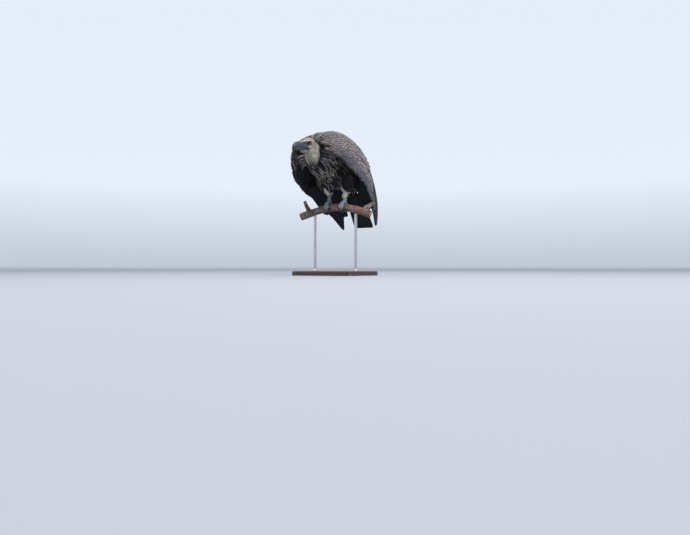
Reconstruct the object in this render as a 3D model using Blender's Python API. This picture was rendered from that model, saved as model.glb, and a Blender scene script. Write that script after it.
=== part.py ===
"""A young white-backed vulture, hunched on a cut branch that a plain display stand holds up.

Metres, +Z up. The bird faces -Y and its left side is +X. The origin is the centre of the stand's
underside. The bird is modelled in its own frame, whose zero is the top of the branch between its
feet, and its head in a frame whose zero lies midway between the eyes.
"""
import math
from collections import namedtuple

import bmesh
import bpy
import numpy as np
from mathutils import Matrix, Vector

# ---------------------------------------------------------------- driving dimensions
GAP = 0.0003  # clearance between pieces that touch
CUT = 0.0004  # how much a neighbour is grown before it is cut away
SHARP = math.radians(50)  # edges steeper than this stay sharp

PERCH_TOP = 0.360  # the branch's top under the feet, above the floor
PERCH_RADIUS = 0.020
PERCH_HALF_LENGTH = 0.195
PERCH_ARCH = 1.1  # how fast the branch falls away from its middle, per metre

BASE_HALF_WIDTH = 0.170
BASE_HALF_DEPTH = 0.150
BASE_HEIGHT = 0.022
BASE_CORNER = 0.030  # the base's round corners and its eased upper edge
BASE_EDGE = 0.005
ROD_RADIUS = 0.007
ROD_OFFSET = 0.125  # each rod's distance from the middle
FLANGE_RADIUS = 0.019
FLANGE_HEIGHT = 0.006

HEAD_AT = Vector((-0.001, -0.234, 0.257))
HEAD_YAW = math.radians(-8)  # towards the bird's right
HEAD_PITCH = math.radians(5)  # bill down
BILL_ROOT_Y = -0.034
EYE_RADIUS = 0.0112
EYE_AT = Vector((0.0169, -0.005, 0.005))

FOOT_LEFT_X = 0.056
FOOT_RIGHT_X = -0.034
ANKLE_AT = Vector((0.057, 0.034, 0.088))
ANKLE_RADIUS = 0.0096
SHANK_WAIST = 0.0020  # how much slimmer the lower leg is half-way down
TOE_RADIUS = 0.0068
TOE_SEAT = 0.0006  # clearance between the toes and the branch
PAD_RADIUS = 0.0112
CLAW_RADIUS = 0.0042

# A stretch of body: its centre and half its size across and from back to belly.
Station = namedtuple("Station", "x y z across deep")

TRUNK = (
    Station(0, -0.194, 0.258, 0.036, 0.044),
    Station(0, -0.166, 0.250, 0.066, 0.080),
    Station(0, -0.122, 0.240, 0.091, 0.104),
    Station(0, -0.060, 0.226, 0.107, 0.118),
    Station(0, 0.010, 0.196, 0.109, 0.124),
    Station(0, 0.075, 0.150, 0.092, 0.101),
    Station(0, 0.125, 0.106, 0.062, 0.060),
    Station(0, 0.158, 0.071, 0.036, 0.022),
)
TRUNK_LENGTH = 0.30  # along its curve, roughly
RUFF_SHARE = 0.20  # the front share of the trunk that is the ruff

NECK = (
    Station(0.003, -0.188, 0.282, 0.014, 0.014),
    Station(0.004, -0.195, 0.268, 0.026, 0.027),
    Station(0.005, -0.200, 0.246, 0.032, 0.034),
    Station(0.004, -0.198, 0.218, 0.031, 0.033),
    Station(0.002, -0.184, 0.193, 0.029, 0.029),
    Station(0, -0.155, 0.178, 0.028, 0.028),
    Station(0, -0.115, 0.178, 0.026, 0.026),
)

THIGH = (
    Station(0.060, 0.012, 0.185, 0.036, 0.048),
    Station(0.072, -0.002, 0.145, 0.048, 0.064),
    Station(0.069, 0.004, 0.105, 0.040, 0.052),
    Station(0.060, 0.022, 0.075, 0.028, 0.036),
    Station(0.055, 0.029, 0.054, 0.015, 0.018),
)
RIGHT_THIGH_SHIFT = Vector((0.012, 0, -0.006))  # the right leg is tucked in and bent a little more

# The head along its own axis: place, crown, chin and half its width.
Slice = namedtuple("Slice", "y crown chin across")

HEAD = (
    Slice(BILL_ROOT_Y, 0.0160, -0.0260, 0.0148),
    Slice(-0.026, 0.0220, -0.0276, 0.0176),
    Slice(-0.014, 0.0295, -0.0302, 0.0228),
    Slice(0.000, 0.0350, -0.0330, 0.0274),
    Slice(0.016, 0.0375, -0.0352, 0.0298),
    Slice(0.032, 0.0358, -0.0354, 0.0292),
    Slice(0.046, 0.0280, -0.0310, 0.0234),
    Slice(0.055, 0.0130, -0.0180, 0.0115),
)

# The bill at points along it: its upper edge, its lower edge and half its width.
Blade = namedtuple("Blade", "top_y top_z low_y low_z across")

UPPER_BILL = (
    Blade(BILL_ROOT_Y - GAP, 0.0152, BILL_ROOT_Y - GAP, -0.0105, 0.0144),
    Blade(-0.0480, 0.0160, -0.0480, -0.0117, 0.0128),
    Blade(-0.0620, 0.0138, -0.0600, -0.0127, 0.0109),
    Blade(-0.0745, 0.0074, -0.0700, -0.0132, 0.0088),
    Blade(-0.0838, -0.0030, -0.0768, -0.0155, 0.0066),
    Blade(-0.0884, -0.0152, -0.0815, -0.0208, 0.0043),
    Blade(-0.0892, -0.0262, -0.0848, -0.0275, 0.0023),
    Blade(-0.0880, -0.0335, -0.0866, -0.0332, 0.0009),
)
LOWER_BILL = (
    Blade(BILL_ROOT_Y - GAP, -0.0092, BILL_ROOT_Y - GAP, -0.0264, 0.0124),
    Blade(-0.0480, -0.0103, -0.0480, -0.0266, 0.0113),
    Blade(-0.0600, -0.0112, -0.0600, -0.0254, 0.0092),
    Blade(-0.0690, -0.0125, -0.0695, -0.0230, 0.0066),
    Blade(-0.0738, -0.0160, -0.0745, -0.0198, 0.0034),
)

# Each wing from shoulder to tip: its lower, leading edge, its upper, trailing edge, how far it bulges
# between them, and its thickness. The right wing droops more. Both are given as for the left side.
LEADING = {
    "left": (
        (0.092, -0.226, 0.262),
        (0.136, -0.204, 0.218),
        (0.156, -0.130, 0.180),
        (0.156, -0.032, 0.136),
        (0.144, 0.062, 0.084),
        (0.130, 0.130, 0.020),
        (0.114, 0.190, -0.044),
        (0.098, 0.236, -0.102),
    ),
    "right": (
        (0.090, -0.222, 0.244),
        (0.134, -0.184, 0.188),
        (0.155, -0.132, 0.124),
        (0.158, -0.058, 0.068),
        (0.150, 0.020, 0.030),
        (0.140, 0.092, -0.018),
        (0.124, 0.162, -0.070),
        (0.104, 0.220, -0.122),
    ),
}
TRAILING = {
    "left": (
        (0.064, -0.196, 0.300),
        (0.048, -0.140, 0.330),
        (0.030, -0.060, 0.343),
        (0.016, 0.040, 0.332),
        (0.012, 0.142, 0.288),
        (0.018, 0.224, 0.200),
        (0.036, 0.274, 0.092),
        (0.080, 0.290, -0.044),
    ),
    "right": (
        (0.064, -0.194, 0.290),
        (0.052, -0.140, 0.324),
        (0.034, -0.060, 0.341),
        (0.017, 0.040, 0.333),
        (0.010, 0.140, 0.282),
        (0.012, 0.216, 0.188),
        (0.030, 0.262, 0.076),
        (0.080, 0.276, -0.062),
    ),
}
BULGE = {
    "left": (0.012, 0.040, 0.056, 0.058, 0.052, 0.040, 0.026, 0.008),
    "right": (0.010, 0.034, 0.054, 0.060, 0.054, 0.040, 0.026, 0.008),
}
WING_THICKNESS = (0.020, 0.026, 0.024, 0.020, 0.016, 0.011, 0.007, 0.004)
COVERTS_END = 0.60  # share of the wing's length
SECONDARIES_END = 0.875
PRIMARIES_WIDTH = 0.46  # share of the wing's width
WING_LENGTH = 0.60  # shoulder to tip, and leading to trailing edge, roughly
WING_WIDTH = 0.20

TAIL_BACK = ((0, 0.128, 0.112), (0, 0.190, 0.040), (0, 0.250, -0.045), (0, 0.290, -0.106))
TAIL_HALF_WIDTH = (0.030, 0.042, 0.055, 0.060)
TAIL_THICKNESS = 0.009
TAIL_ARCH = 0.016
TAIL_CORNER = 0.018  # how far the outer feathers' tips stay behind the middle ones

# Each toe: sideways lean in radians, how far round the branch it reaches, and its claw.
Toe = namedtuple("Toe", "name lean reach claw")
TOES = (
    Toe("inner", -0.62, 1.75, 0.95),
    Toe("middle", 0.0, 2.20, 0.85),
    Toe("outer", 0.50, 1.80, 0.80),
    Toe("hind", 0.10, -1.25, -1.00),
)

# The sawn stubs of side branches: where each starts, which way it goes, its length and thickness.
Stub = namedtuple("Stub", "root direction length radius")
STUBS = (
    Stub((-0.148, -0.008, -0.040), (-0.50, -0.35, 0.80), 0.075, 0.0100),
    Stub((0.158, 0.012, -0.045), (0.55, 0.45, 0.70), 0.060, 0.0115),
)
STUB_BEND = (0.012, 0.010, 0)

COLOURS = {
    "brown_feather": ((0.085, 0.066, 0.055), 0.85),
    "dark_feather": ((0.022, 0.019, 0.019), 0.75),
    "neck_down": ((0.47, 0.44, 0.36), 0.95),
    "face_skin": ((0.50, 0.43, 0.34), 0.70),
    "bill_horn": ((0.030, 0.036, 0.044), 0.38),
    "eye": ((0.012, 0.008, 0.006), 0.08),
    "leg_skin": ((0.135, 0.145, 0.150), 0.65),
    "claw_horn": ((0.018, 0.017, 0.017), 0.35),
    "bark": ((0.200, 0.135, 0.105), 0.90),
    "stand_wood": ((0.045, 0.030, 0.022), 0.45),
    "stand_steel": ((0.350, 0.350, 0.350), 0.35),
}


# ---------------------------------------------------------------- helpers
def material(name):
    """The finish of that name, made once."""
    found = bpy.data.materials.get(name)
    if found:
        return found
    colour, roughness = COLOURS[name]
    made = bpy.data.materials.new(name)
    made.use_nodes = True
    shader = made.node_tree.nodes["Principled BSDF"]
    shader.inputs["Base Color"].default_value = (*colour, 1)
    shader.inputs["Roughness"].default_value = roughness
    shader.inputs["Metallic"].default_value = 1.0 if name == "stand_steel" else 0.0
    return made


def smooth(rows, count, start=0.0, end=1.0):
    """The rows read at even steps between two shares of the list, on a Catmull-Rom spline."""
    rows = np.array(rows, float)
    if rows.ndim == 1:
        rows = rows[:, None]
    first = 2 * rows[0] - rows[1]
    last = 2 * rows[-1] - rows[-2]
    padded = np.vstack([first, rows, last])
    places = np.linspace(start, end, count) * (len(rows) - 1)
    cell = np.minimum(places.astype(int), len(rows) - 2)
    u = (places - cell)[:, None]
    before, a, b, after = (padded[cell + k] for k in range(4))
    return 0.5 * (
        2 * a
        + (b - before) * u
        + (2 * before - 5 * a + 4 * b - after) * u**2
        + (3 * a - before - 3 * b + after) * u**3
    )


def unit(vectors):
    return vectors / np.linalg.norm(vectors, axis=-1, keepdims=True)


def section(count, top=2.0, bottom=2.0):
    """Points round a superellipse of half sizes one. The exponent above two squares that half."""
    angle = np.arange(count) * (2 * math.pi / count)
    c = np.cos(angle)
    s = np.sin(angle)
    power = np.where(s < 0, 2 / top, 2 / bottom)
    return np.sign(c) * abs(c) ** power, np.sign(s) * abs(s) ** power


MIRROR = Matrix.Scale(-1, 4, Vector((1, 0, 0)))  # left to right

# Each piece's plain shapes, before anything is cut from it. These do the cutting.
SHAPES = {}


def link(name, data):
    """An object of that mesh, whose own shape is kept for later cuts."""
    made = bpy.data.objects.new(name, data)
    bpy.context.scene.collection.objects.link(made)
    SHAPES[name] = [data.copy()]
    return made


def mesh_object(name, verts, faces, finish):
    """A closed mesh with its faces pointing out."""
    bm = bmesh.new()
    made = [bm.verts.new(v) for v in verts]
    for face in faces:
        bm.faces.new([made[i] for i in face])
    bmesh.ops.recalc_face_normals(bm, faces=bm.faces)
    data = bpy.data.meshes.new(name)
    bm.to_mesh(data)
    bm.free()
    data.materials.append(material(finish))
    data.shade_smooth()
    data.set_sharp_from_angle(angle=SHARP)
    return link(name, data)


def bridge(name, rings, finish):
    """Successive rings joined by quads, with a flat cap on each end."""
    count = len(rings[0])
    verts = [tuple(p) for ring in rings for p in ring]
    faces = [
        (k * count + i, k * count + (i + 1) % count, (k + 1) * count + (i + 1) % count, (k + 1) * count + i)
        for k in range(len(rings) - 1)
        for i in range(count)
    ]
    faces.append(tuple(range(count))[::-1])
    faces.append(tuple(range((len(rings) - 1) * count, len(rings) * count)))
    return mesh_object(name, verts, faces, finish)


def loft(name, stations, finish, rings, sides, top=2.0, bottom=2.0, start=0.0, end=1.0):
    """A body of oval sections along its stations. The first half of a section faces the back."""
    rows = smooth(stations, rings, start, end)
    centres = rows[:, :3]
    ahead = smooth(stations, rings, start + 1e-3, end + 1e-3)
    behind = smooth(stations, rings, start - 1e-3, end - 1e-3)
    along = unit(ahead[:, :3] - behind[:, :3])
    across = np.array([1.0, 0, 0]) - along * along[:, :1]
    across = unit(across)
    belly = np.cross(along, across)
    belly *= -1 if belly[:, 1:].sum() > 0 else 1
    c, s = section(sides, top, bottom)
    shaped = [
        centre + row[3] * np.outer(c, a) + row[4] * np.outer(s, b)
        for centre, row, a, b in zip(centres, rows, across, belly)
    ]
    return bridge(name, shaped, finish)


def blade(name, table, finish, rings, sides, top, bottom):
    """A part of the bill, whose sections span its upper and its lower edge."""
    rows = smooth(table, rings)
    high = np.column_stack([np.zeros(rings), rows[:, 0], rows[:, 1]])
    low = np.column_stack([np.zeros(rings), rows[:, 2], rows[:, 3]])
    c, s = section(sides, top, bottom)
    shaped = [
        (a + b) / 2 + np.outer(c, (wide, 0, 0)) + np.outer(s, (b - a) / 2)
        for a, b, wide in zip(high, low, rows[:, 4])
    ]
    return bridge(name, shaped, finish)


def ball(name, at, radius, finish, around=14, rows=8):
    bm = bmesh.new()
    bmesh.ops.create_uvsphere(bm, u_segments=around, v_segments=rows, radius=radius)
    bmesh.ops.translate(bm, verts=bm.verts, vec=at)
    data = bpy.data.meshes.new(name)
    bm.to_mesh(data)
    bm.free()
    data.materials.append(material(finish))
    data.shade_smooth()
    return link(name, data)


def slab(name, outer, inner, finish):
    """A curved plate between two grids of points, closed round its edge."""
    rows, columns = outer.shape[:2]
    size = rows * columns
    verts = [tuple(p) for p in np.concatenate([outer.reshape(-1, 3), inner.reshape(-1, 3)])]
    faces = []
    for i in range(rows - 1):
        for j in range(columns - 1):
            a, b = i * columns + j, (i + 1) * columns + j
            faces.append((a, a + 1, b + 1, b))
            faces.append((size + b, size + b + 1, size + a + 1, size + a))
    rim = [j for j in range(columns)]
    rim += [i * columns + columns - 1 for i in range(1, rows)]
    rim += [(rows - 1) * columns + j for j in range(columns - 2, -1, -1)]
    rim += [i * columns for i in range(rows - 2, 0, -1)]
    for a, b in zip(rim, rim[1:] + rim[:1]):
        faces.append((a, b, size + b, size + a))
    return mesh_object(name, verts, faces, finish)


def boolean(target, other, operation):
    """Applies one exact Boolean and removes the other object."""
    modifier = target.modifiers.new("cut", "BOOLEAN")
    modifier.operation = operation
    modifier.solver = "EXACT"
    modifier.object = other
    bpy.context.view_layer.update()
    graph = bpy.context.evaluated_depsgraph_get()
    shaped = bpy.data.meshes.new_from_object(target.evaluated_get(graph))
    target.modifiers.clear()
    target.data = shaped
    bpy.data.objects.remove(other, do_unlink=True)
    return target


def join(target, other):
    """Adds the other piece to the target."""
    SHAPES[target.name] += SHAPES.pop(other.name)
    return boolean(target, other, "UNION")


def grown(shape, by=CUT):
    """An object whose surface stands out from that shape by so much."""
    bm = bmesh.new()
    bm.from_mesh(shape)
    bm.normal_update()
    for v in bm.verts:
        v.co += v.normal * (by * min(v.calc_shell_factor(), 1.6))
    data = bpy.data.meshes.new("grown")
    bm.to_mesh(data)
    bm.free()
    made = bpy.data.objects.new("grown", data)
    bpy.context.scene.collection.objects.link(made)
    return made


def keep_main_body(target):
    """Removes the slivers that a cut leaves, and closes up points that coincide."""
    bm = bmesh.new()
    bm.from_mesh(target.data)
    bmesh.ops.remove_doubles(bm, verts=bm.verts, dist=2e-5)
    left = set(bm.verts)
    islands = []
    while left:
        reached = {left.pop()}
        front = list(reached)
        while front:
            for edge in front.pop().link_edges:
                for v in edge.verts:
                    if v in left:
                        left.remove(v)
                        reached.add(v)
                        front.append(v)
        islands.append(reached)
    main = max(islands, key=len)
    bmesh.ops.delete(bm, geom=[v for v in bm.verts if v not in main], context="VERTS")
    bmesh.ops.triangulate(bm, faces=bm.faces)
    bm.to_mesh(target.data)
    bm.free()
    target.data.set_sharp_from_angle(angle=SHARP)
    return target


def cut(target, *neighbours):
    """Takes each neighbour, slightly grown, out of the target."""
    for neighbour in neighbours:
        for shape in SHAPES[neighbour.name]:
            boolean(target, grown(shape), "DIFFERENCE")
    return keep_main_body(target)


def place(matrix, *objects):
    """Moves the objects' own points, so that the objects stay at zero. A mirroring keeps faces out."""
    for each in objects:
        for data in (each.data, *SHAPES[each.name]):
            data.transform(matrix)
            if matrix.determinant() < 0:
                data.flip_normals()


# ---------------------------------------------------------------- head
def build_head():
    """The skull with its face, the two halves of the bill, and the eyes in their sockets."""
    stations = [
        Station(0, s.y, (s.crown + s.chin) / 2, s.across, (s.crown - s.chin) / 2) for s in HEAD
    ]
    head = loft("head", stations, "face_skin", rings=12, sides=18, top=2.3, bottom=2.2)
    upper = blade("bill_upper", UPPER_BILL, "bill_horn", rings=13, sides=12, top=2.1, bottom=5.0)
    lower = blade("bill_lower", LOWER_BILL, "bill_horn", rings=7, sides=10, top=5.0, bottom=2.2)
    cut(upper, head)
    cut(lower, upper, head)
    eyes = []
    for name, side in (("eye_left", 1), ("eye_right", -1)):
        at = (EYE_AT.x * side, EYE_AT.y, EYE_AT.z)
        eyes.append(ball(name, at, EYE_RADIUS, "eye"))
    cut(head, *eyes)
    turn = Matrix.Rotation(HEAD_YAW, 4, "Z") @ Matrix.Rotation(HEAD_PITCH, 4, "X")
    place(Matrix.Translation(HEAD_AT) @ turn, head, upper, lower, *eyes)
    return head


# ---------------------------------------------------------------- trunk, ruff and neck
def build_trunk(head):
    """The body, whose front end is the ruff, and the neck that loops down in front of it."""
    share = GAP / TRUNK_LENGTH
    ruff = loft("ruff", TRUNK, "brown_feather", rings=5, sides=24, top=2.2, end=RUFF_SHARE - share)
    trunk = loft("trunk", TRUNK, "brown_feather", rings=12, sides=24, top=2.2, start=RUFF_SHARE)
    neck = loft("neck", NECK, "neck_down", rings=10, sides=16)
    cut(neck, head)
    cut(ruff, head, neck)
    cut(trunk, neck)
    return trunk, ruff


# ---------------------------------------------------------------- wings
def wing_surface(side, shares, widths):
    """Outer and inner points of the wing at shares of its length and, row by row, of its width."""
    def read(table, ahead=0.0):
        return np.array([smooth(table, 1, t + ahead, t + ahead)[0] for t in shares])

    leading = read(LEADING[side])
    trailing = read(TRAILING[side])
    step = 1e-3
    before = read(LEADING[side], -step) + read(TRAILING[side], -step)
    after = read(LEADING[side], step) + read(TRAILING[side], step)
    bulge = read(BULGE[side])[:, 0]
    thick = read(WING_THICKNESS)[:, 0]
    outward = unit(np.cross(after - before, trailing - leading))
    outer = np.empty((len(shares), len(widths[0]), 3))
    inner = np.empty_like(outer)
    for i, row in enumerate(widths):
        s = np.array(row)[:, None]
        chord = leading[i] * (1 - s) + trailing[i] * s
        lift = bulge[i] * np.sin(math.pi * np.clip(s, 0, 1)) ** 0.8
        body = thick[i] * (0.30 + 0.70 * np.sin(math.pi * np.clip(s, 0.02, 0.98)) ** 0.5)
        outer[i] = chord + lift * outward[i]
        inner[i] = outer[i] - body * outward[i]
    return outer, inner


def wing_piece(side, piece, span, width, finish, rows, columns, taper=0.0):
    """A stretch of the wing. A taper rounds its far end towards the leading edge."""
    shares = np.linspace(*span, rows)
    run = (shares - span[0]) / (span[1] - span[0])
    low, high = width
    widths = [np.linspace(low, top, columns) for top in low + (high - low) * (1 - taper * run**2.2)]
    outer, inner = wing_surface(side, shares, widths)
    made = slab(f"wing_{side}_{piece}", outer, inner, finish)
    if side == "right":
        place(MIRROR, made)
    return made


def build_wing(side):
    """The folded wing: the coverts in front, and behind them the primaries below the secondaries."""
    start = COVERTS_END + GAP / WING_LENGTH
    gap = GAP / WING_WIDTH
    lower = (0, PRIMARIES_WIDTH - gap)
    upper = (PRIMARIES_WIDTH + gap, 1)
    return (
        wing_piece(side, "coverts", (0, COVERTS_END), (0, 1), "brown_feather", 11, 10),
        wing_piece(side, "primaries", (start, 1), lower, "dark_feather", 9, 5, taper=0.75),
        wing_piece(side, "secondaries", (start, SECONDARIES_END), upper, "dark_feather", 7, 6, taper=0.35),
    )


# ---------------------------------------------------------------- tail
def build_tail():
    """The closed tail, arched across and rounded at its end."""
    count = 7
    rows = smooth(TAIL_BACK, count)
    wide = smooth(TAIL_HALF_WIDTH, count)[:, 0]
    along = unit(np.gradient(rows, axis=0))
    outward = unit(np.cross(np.array([1.0, 0, 0]), along))
    across = np.linspace(-1, 1, count)
    outer = np.empty((count, count, 3))
    for i, centre in enumerate(rows):
        rounding = TAIL_CORNER if i == count - 1 else 0
        outer[i] = centre + np.outer(across * wide[i], (1, 0, 0))
        outer[i] -= np.outer(TAIL_ARCH * across**2, outward[i])
        outer[i] -= np.outer(rounding * across**2, along[i])
    thin = TAIL_THICKNESS * (1 - 0.6 * np.abs(across)[None, :, None] ** 3)
    inner = outer - thin * outward[:, None, :]
    return slab("tail", outer, inner, "dark_feather")


# ---------------------------------------------------------------- legs
def round_branch(reach, lean, radius, count, start=0.0):
    """Points that go round the branch at that radius, from its top towards -Y."""
    turned = np.linspace(start, reach, count)
    sideways = lean * radius * (turned - 0.25 * turned * abs(turned)) * 0.62
    return np.stack([sideways, -radius * np.sin(turned), radius * (np.cos(turned) - 1)], axis=1)


def tube(name, points, radii, finish, sides=8):
    """A round piece along a path, closed at both ends."""
    along = unit(np.gradient(points, axis=0))
    steep = abs(along[:, 0]).max() > 0.8
    hint = np.tile(np.array([0, 0, 1.0] if steep else [1.0, 0, 0]), (len(points), 1))
    across = unit(hint - along * (hint * along).sum(1, keepdims=True))
    other = np.cross(along, across)
    c, s = section(sides)
    rings = [p + r * (np.outer(c, a) + np.outer(s, b)) for p, r, a, b in zip(points, radii, across, other)]
    return bridge(name, rings, finish)


def build_foot(side, sign):
    """Four toes joined at the pad, each ending in a claw that hooks round the branch."""
    ride = PERCH_RADIUS + TOE_RADIUS + TOE_SEAT
    lift = np.array([0, 0, TOE_RADIUS + TOE_SEAT])
    pad = ball(f"foot_{side}", (0, 0, PAD_RADIUS + 2 * TOE_SEAT), PAD_RADIUS, "leg_skin", 10, 6)
    claws = []
    for toe in TOES:
        start = math.copysign(0.12, toe.reach)
        points = round_branch(toe.reach, toe.lean, ride, 8, start) + lift
        run = np.linspace(0, 1, 8)
        knuckles = 1 + 0.10 * np.cos(run * 6 * math.pi)
        radii = TOE_RADIUS * (1.0 - 0.28 * run) * knuckles
        points[:, 2] += 0.0016 * (1 - run)
        join(pad, tube("toe", points, radii, "leg_skin", sides=7))
        hook = round_branch(toe.reach + toe.claw, toe.lean, ride, 6, start=toe.reach) + lift
        outward = hook - np.array([0, 0, -PERCH_RADIUS])
        outward[:, 0] = 0
        hook -= unit(outward) * np.linspace(0, TOE_RADIUS - 0.7 * CLAW_RADIUS, 6)[:, None]
        thin = CLAW_RADIUS * (1 - np.linspace(0, 1, 6) ** 1.4 * 0.88)
        claws.append(tube(f"claw_{side}_{toe.name}", hook, thin, "claw_horn", sides=7))
    keep_main_body(pad)
    for hook in claws:
        cut(hook, pad)
    place(on_perch(side) @ (Matrix() if sign > 0 else MIRROR), pad, *claws)
    return pad


def fall(x):
    """How far the branch has dropped at that distance from its middle, and its slope there."""
    return -PERCH_ARCH * x**2, -2 * PERCH_ARCH * x


def on_perch(side):
    """The move from a foot's own zero to its seat on the arched branch."""
    x = FOOT_LEFT_X if side == "left" else FOOT_RIGHT_X
    drop, slope = fall(x)
    middle = Matrix.Translation((0, 0, -PERCH_RADIUS))
    turn = middle @ Matrix.Rotation(-math.atan(slope), 4, "Y") @ middle.inverted()
    return Matrix.Translation((x, 0, drop)) @ turn


def build_leg(side, sign, trunk, foot):
    """The feathered thigh and the bare lower leg that stands in it."""
    thigh = loft(f"thigh_{side}", THIGH, "brown_feather", rings=9, sides=14)
    if sign < 0:
        place(Matrix.Translation(RIGHT_THIGH_SHIFT) @ MIRROR, thigh)
    top = np.array(ANKLE_AT) if sign > 0 else np.array(MIRROR @ ANKLE_AT + RIGHT_THIGH_SHIFT)
    low = np.array(on_perch(side) @ Vector((0, 0, 1.68 * PAD_RADIUS)))
    run = np.linspace(0, 1, 5)[:, None]
    radii = ANKLE_RADIUS - SHANK_WAIST * np.sin(run[:, 0] * math.pi)
    tarsus = tube(f"tarsus_{side}", top + (low - top) * run, radii, "leg_skin", sides=12)
    cut(tarsus, foot, trunk)
    cut(thigh, trunk, tarsus)
    return thigh


# ---------------------------------------------------------------- perch and stand
def build_perch():
    """A cut length of arched branch with two sawn stubs, bent a little beyond the feet."""
    count = 12
    run = np.linspace(-PERCH_HALF_LENGTH, PERCH_HALF_LENGTH, count)
    beyond = np.maximum(abs(run) - 0.080, 0)  # the stretch under the feet is smooth and straight
    sway = np.sign(run) * beyond**2 * 2.2
    drop = fall(run)[0]
    radii = PERCH_RADIUS * (1 + 0.05 * np.sin(run * 63) * np.minimum(beyond / 0.03, 1))
    perch = tube("perch", np.stack([run, sway, drop - PERCH_RADIUS], axis=1), radii, "bark", sides=12)
    for number, stub in enumerate(STUBS):
        way = unit(np.array(stub.direction))
        reach = np.linspace(0.002, stub.length, 5)[:, None]
        bend = np.array(STUB_BEND) * (reach / stub.length) ** 2
        thick = stub.radius * np.linspace(1.35, 0.9, 5)
        points = np.array(stub.root) + way * reach + bend
        join(perch, tube(f"stub_{number}", points, thick, "bark", sides=8))
    return keep_main_body(perch)


def build_stand(perch):
    """A flat base with bevelled edges and two rods whose tops are saddled to the branch."""
    bm = bmesh.new()
    bmesh.ops.create_cube(bm, size=1)
    size = (2 * BASE_HALF_WIDTH, 2 * BASE_HALF_DEPTH, BASE_HEIGHT)
    bmesh.ops.scale(bm, verts=bm.verts, vec=size)
    bmesh.ops.translate(bm, verts=bm.verts, vec=(0, 0, BASE_HEIGHT / 2))
    upright = [e for e in bm.edges if abs(e.verts[0].co.z - e.verts[1].co.z) > BASE_HEIGHT / 2]
    bmesh.ops.bevel(bm, geom=upright, offset=BASE_CORNER, segments=6, affect="EDGES", profile=0.5)
    rim = [e for e in bm.edges if min(v.co.z for v in e.verts) > BASE_HEIGHT - 1e-5]
    bmesh.ops.bevel(bm, geom=rim, offset=BASE_EDGE, segments=3, affect="EDGES", profile=0.5)
    data = bpy.data.meshes.new("stand_base")
    bm.to_mesh(data)
    bm.free()
    data.materials.append(material("stand_wood"))
    link("stand_base", data)
    foot = BASE_HEIGHT + GAP
    heights = (foot, foot + FLANGE_HEIGHT, foot + FLANGE_HEIGHT, PERCH_TOP - PERCH_RADIUS)
    radii = (FLANGE_RADIUS, FLANGE_RADIUS, ROD_RADIUS, ROD_RADIUS)
    c, s = section(20)
    for name, x in (("stand_rod_left", ROD_OFFSET), ("stand_rod_right", -ROD_OFFSET)):
        rings = [np.stack([x + r * c, r * s, z + 0 * c], axis=1) for z, r in zip(heights, radii)]
        rod = bridge(name, rings, "stand_steel")
        cut(rod, perch)


# ---------------------------------------------------------------- the whole object
def main():
    """Builds the bird on a branch at zero, lifts both to their height and puts the stand under them."""
    for old in list(bpy.data.objects):
        bpy.data.objects.remove(old, do_unlink=True)
    head = build_head()
    trunk, ruff = build_trunk(head)
    tail = build_tail()
    cut(tail, trunk)
    feet = {}
    for side, sign in (("left", 1), ("right", -1)):
        feet[side] = build_foot(side, sign)
        thigh = build_leg(side, sign, trunk, feet[side])
        coverts, primaries, secondaries = build_wing(side)
        cut(coverts, trunk, ruff, thigh)
        cut(secondaries, trunk, tail)
        cut(primaries, tail)
    perch = build_perch()
    bird = [o for o in bpy.data.objects if o.type == "MESH"]
    place(Matrix.Translation((0, 0, PERCH_TOP)), *bird)
    build_stand(perch)


main()
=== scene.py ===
# %% [markdown]
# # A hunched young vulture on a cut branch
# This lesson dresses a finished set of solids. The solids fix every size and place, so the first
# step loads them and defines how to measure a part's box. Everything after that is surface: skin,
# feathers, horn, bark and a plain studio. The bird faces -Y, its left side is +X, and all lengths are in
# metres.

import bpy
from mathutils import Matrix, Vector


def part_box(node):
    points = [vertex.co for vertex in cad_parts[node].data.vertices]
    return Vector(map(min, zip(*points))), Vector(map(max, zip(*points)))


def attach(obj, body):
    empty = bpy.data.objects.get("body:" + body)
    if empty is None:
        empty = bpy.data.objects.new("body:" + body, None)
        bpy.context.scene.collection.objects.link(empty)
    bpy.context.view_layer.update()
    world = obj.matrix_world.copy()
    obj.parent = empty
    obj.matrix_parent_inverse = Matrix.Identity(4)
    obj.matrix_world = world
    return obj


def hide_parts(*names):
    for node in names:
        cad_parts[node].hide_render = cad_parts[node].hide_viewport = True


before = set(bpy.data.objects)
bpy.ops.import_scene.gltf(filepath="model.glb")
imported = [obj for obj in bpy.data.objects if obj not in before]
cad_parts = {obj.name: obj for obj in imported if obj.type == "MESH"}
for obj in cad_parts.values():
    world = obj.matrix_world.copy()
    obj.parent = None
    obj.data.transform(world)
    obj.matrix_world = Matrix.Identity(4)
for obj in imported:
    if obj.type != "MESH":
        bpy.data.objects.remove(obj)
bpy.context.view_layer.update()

# %% Tools of the lesson
import math

import bmesh
import bpy
import numpy as np
from mathutils import Matrix, Vector
from mathutils.bvhtree import BVHTree

chance = np.random.default_rng(11)
SIDES = ("left", "right")
SIGN = {"left": 1, "right": -1}
print("full build", "with the bird's sides along X:", SIGN)

# %% [markdown]
# ## The camera
# The view is from low down and from the bird's front left, with the bird small in a wide frame. A
# level camera just above the floor gives that: nothing leans, and the eye looks up under the breast.
# The lens follows from how large the bird should be in the frame, so no shift is needed.

# %% Place the camera
VIEW_TURN = math.radians(35)
VIEW_DISTANCE = 3.4
VIEW_ASIDE = 0.05
VIEW_HEIGHT = 0.04
SENSOR = 36.0
FRAME_SHARE = 680 / 690  # focal length over the frame's width

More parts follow.
